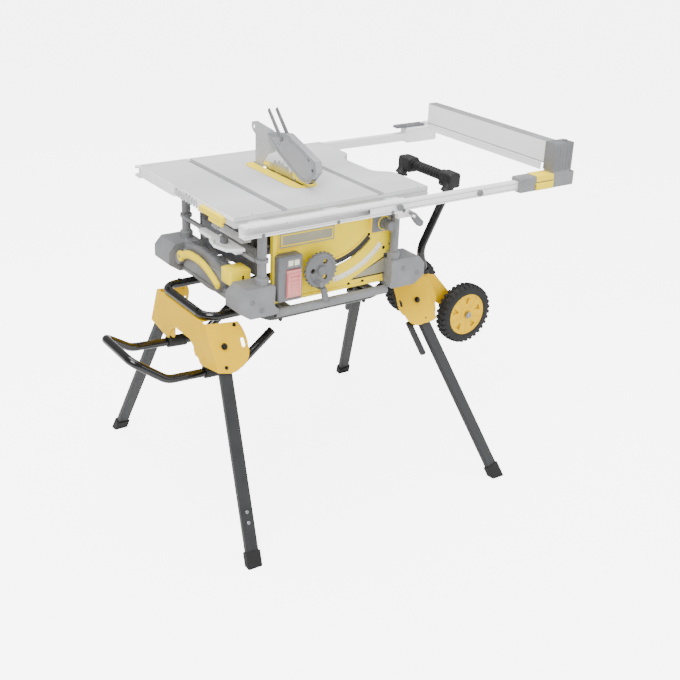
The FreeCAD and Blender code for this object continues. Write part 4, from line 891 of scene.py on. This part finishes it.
# ---- saw side and rear -----------------------------------------------------------------------------
def casing_details():
    """Louvres and screws of the casing, and the motor, cable and bar seen through its open left side."""
    rear = row(block(-150, 10, 235, 237.2, 0, 5, 0.8), grey_plastic, 9, (0, 0, 740), (0, 0, 14))
    right = row(block(181, 183.2, -60, 120, 0, 5, 0.8), grey_plastic, 9, (0, 0, 740), (0, 0, 14))
    add_piece("casing_louvres", joined([rear, right]), "frame", grey_plastic)
    fin = turned([(38, 0), (41.5, 0.6), (41.5, 3.4), (38, 4)], 64, facing((1, 0, 0)), (0, 0, 0))
    fins = row(fin, motor_black, 9, (-208, -10, 775), (10, 0, 0))
    add_piece("motor_fins", fins, "drive_unit", motor_black)
    vent = turned([(6, -215.6), (34, -215.6), (34, -217), (30, -218), (10, -218), (6, -217)], 48, RIGHT,
                  (0, -10, 775))
    add_piece("motor_end_vent", vent, "drive_unit", dark_plastic)
    cable = round_bar([(-250, -186, 828), (-256, -170, 822), (-258, -150, 800), (-252, -124, 776),
                       (-244, -104, 760), (-238, -80, 748)], 3.0)
    add_piece("motor_cable", cable, "frame", dark_plastic)
    tube = round_bar([(-322, 172, 668), (-324, 130, 657), (-324, 90, 648), (-324, 30, 643), (-324, -44, 656),
                      (-322, -104, 684), (-318, -150, 706)], 6.0)
    add_piece("side_guard_bar", tube, "frame", grey_plastic)
    side = [block(-264, -258, -140, 190, 724, 806, 2.0), block(-266, -263, -140, 190, 760, 766, 1.0)]
    add_piece("side_dark_panel", joined(side), "frame", dark_plastic)
    corners = [math.radians(45 + 90 * i) for i in range(4)]
    seats = [((60 + 36 * math.cos(a), 239, 705 + 36 * math.sin(a)), (0, 1, 0)) for a in corners]
    bolts = seated(bolt_head((0, 0, 0), (0, 0, 1), 4.0, 3.4), dark_plastic, seats)
    add_piece("dust_port_screws", bolts, "frame", dark_plastic)


def storage_details():
    """Side stowage: flat push stick, its dark holder, the yellow tool block and the mitre gauge."""
    stick = [(170, 700), (150, 712), (130, 720), (100, 724), (60, 724), (30, 720), (0, 711), (-30, 699),
             (-56, 685)]
    band = cut_plate([offset_band([(-y, z) for y, z in stick], 12.0)], 8.0, 1.6, LEFT, (-340, 0, 0))
    disc = turned([(0, 0), (15, 0), (17, 2), (17, 9), (15, 11), (6, 11.6), (5, 9), (0, 9)], 40,
                  facing((-1, 0, 0)), (-341, 172, 701))
    add_piece("push_stick_band", joined([band, disc]), "frame", pale_yellow)
    holder = [(150, 726), (100, 736), (30, 736), (-40, 722), (-76, 708)]
    shell = cut_plate([offset_band([(-y, z) for y, z in holder], 19.0)], 16.0, 5.0, LEFT, (-318, 0, 0))
    add_piece("push_stick_holder_shell", shell, "frame", dark_plastic)
    tool = [block(-353, -289, -156, -95, 713, 759, 5.0), block(-354.2, -352, -150, -101, 722, 750, 1.0)]
    add_piece("tool_block_skin", joined(tool), "frame", pale_yellow)
    gauge = [block(-337, -313, -151, 73, 814.4, 816.6, 0.6), block(-300, -268, -120, 60, 822, 828, 1.6)]
    add_piece("mitre_gauge_bar_face", joined(gauge), "frame", bright_alu)
    knob = turned([(0, 0), (10, 0), (12, 3), (12, 16), (10, 20), (0, 21)], 32, FLAT, (-340, -92, 824))
    add_piece("mitre_gauge_knob", knob, "frame", dark_plastic)
    arc = row(block(-0.3, 0.3, 44, 50, 824, 824.5, 0.1), print_and_painted_shade, 19, (0, 0, 0), (0, 0, 0), (0, 0, 5))
    arc.transform(Matrix.Translation(mm(-318, -91, 0)) @ Matrix.Rotation(math.radians(45), 4, "Z"))
    add_piece("mitre_gauge_scale", arc, "frame", print_and_painted_shade)


def moulding_details():
    """Screw seats in the corner mouldings and collars on the cage posts."""
    seat = turned([(0, 0.6), (5, 0.6), (6.5, 1.6), (8, 0.4), (8, -0.5)], 28, FLAT, (0, 0, 0))
    seats = [((x, -236, z), (0, -1, 0)) for x, z in ((-330, 690), (-300, 662), (190, 700), (246, 676))]
    seats += [((x, 304, z), (0, 1, 0)) for x, z in ((-330, 690), (-290, 672), (200, 700), (240, 676))]
    add_piece("moulding_screw_seats", seated(seat, dark_plastic, seats), "frame", dark_plastic)
    low = turned([(13.6, 0), (20, 0), (20, 10), (17, 14), (13.6, 15)], 40, FLAT, (0, 0, 0))
    high = turned([(13.6, 0), (18, 0), (18, 8), (13.6, 9)], 40, FLAT, (0, 0, 0))
    collars = [seated(collar, grey_plastic, [((x, y, z), (0, 0, 1)) for x, y in post_spots])
               for collar, z in ((low, 738), (high, 905))]
    add_piece("post_collars", joined(collars), "frame", grey_plastic)


def leg_details():
    """Dark plugs at the leg tops and the press buttons of the levelling section."""
    button = turned([(0, 2.4), (4, 2.2), (5.2, 1.2), (5.2, 0), (0, 0)], 24, FLAT, (0, 0, 0))
    pivot, along = (Vector(v) for v in leg_runs["left_front"])
    out = Vector((0.0, -0.882948, 0.469472))
    seats = [(tuple(pivot + along * t + out * -5.0), tuple(out)) for t in (470, 500)]
    add_piece("levelling_buttons", seated(button, zinc, seats), "leg_left_front", zinc)
    for name, (pivot, run) in leg_runs.items():
        side_y = 1 if name.endswith("front") else -1
        lean = (0.882948, 0.469472) if name.startswith("left") else (0.87462, 0.48481)
        inward = Vector((0, lean[0] * side_y, -lean[1]))
        run = Vector(run)
        across = run.cross(inward)
        at = Vector(pivot) + inward * 14.0 - run * 29.0
        turn = Matrix((across, inward, -run)).transposed().to_4x4()
        plug = block(-18.6, 18.6, -8.6, 8.6, -6, 2.2, 1.4)
        plug.transform(Matrix.Translation(mm(*at)) @ turn)
        add_piece(name + "_leg_top_plug", plug, "leg_" + name, grip_plastic)


wheel(-1, "front")
wheel(1, "rear")
front_panel_details()
switch_details()
control_details()
stand_fasteners()
handle_details()
leg_details()
table_details()
rail_details()
throat_details()
guard_details()
fence_details()
casing_details()
storage_details()
moulding_details()

place_camera()
place_lights()
place_floor()
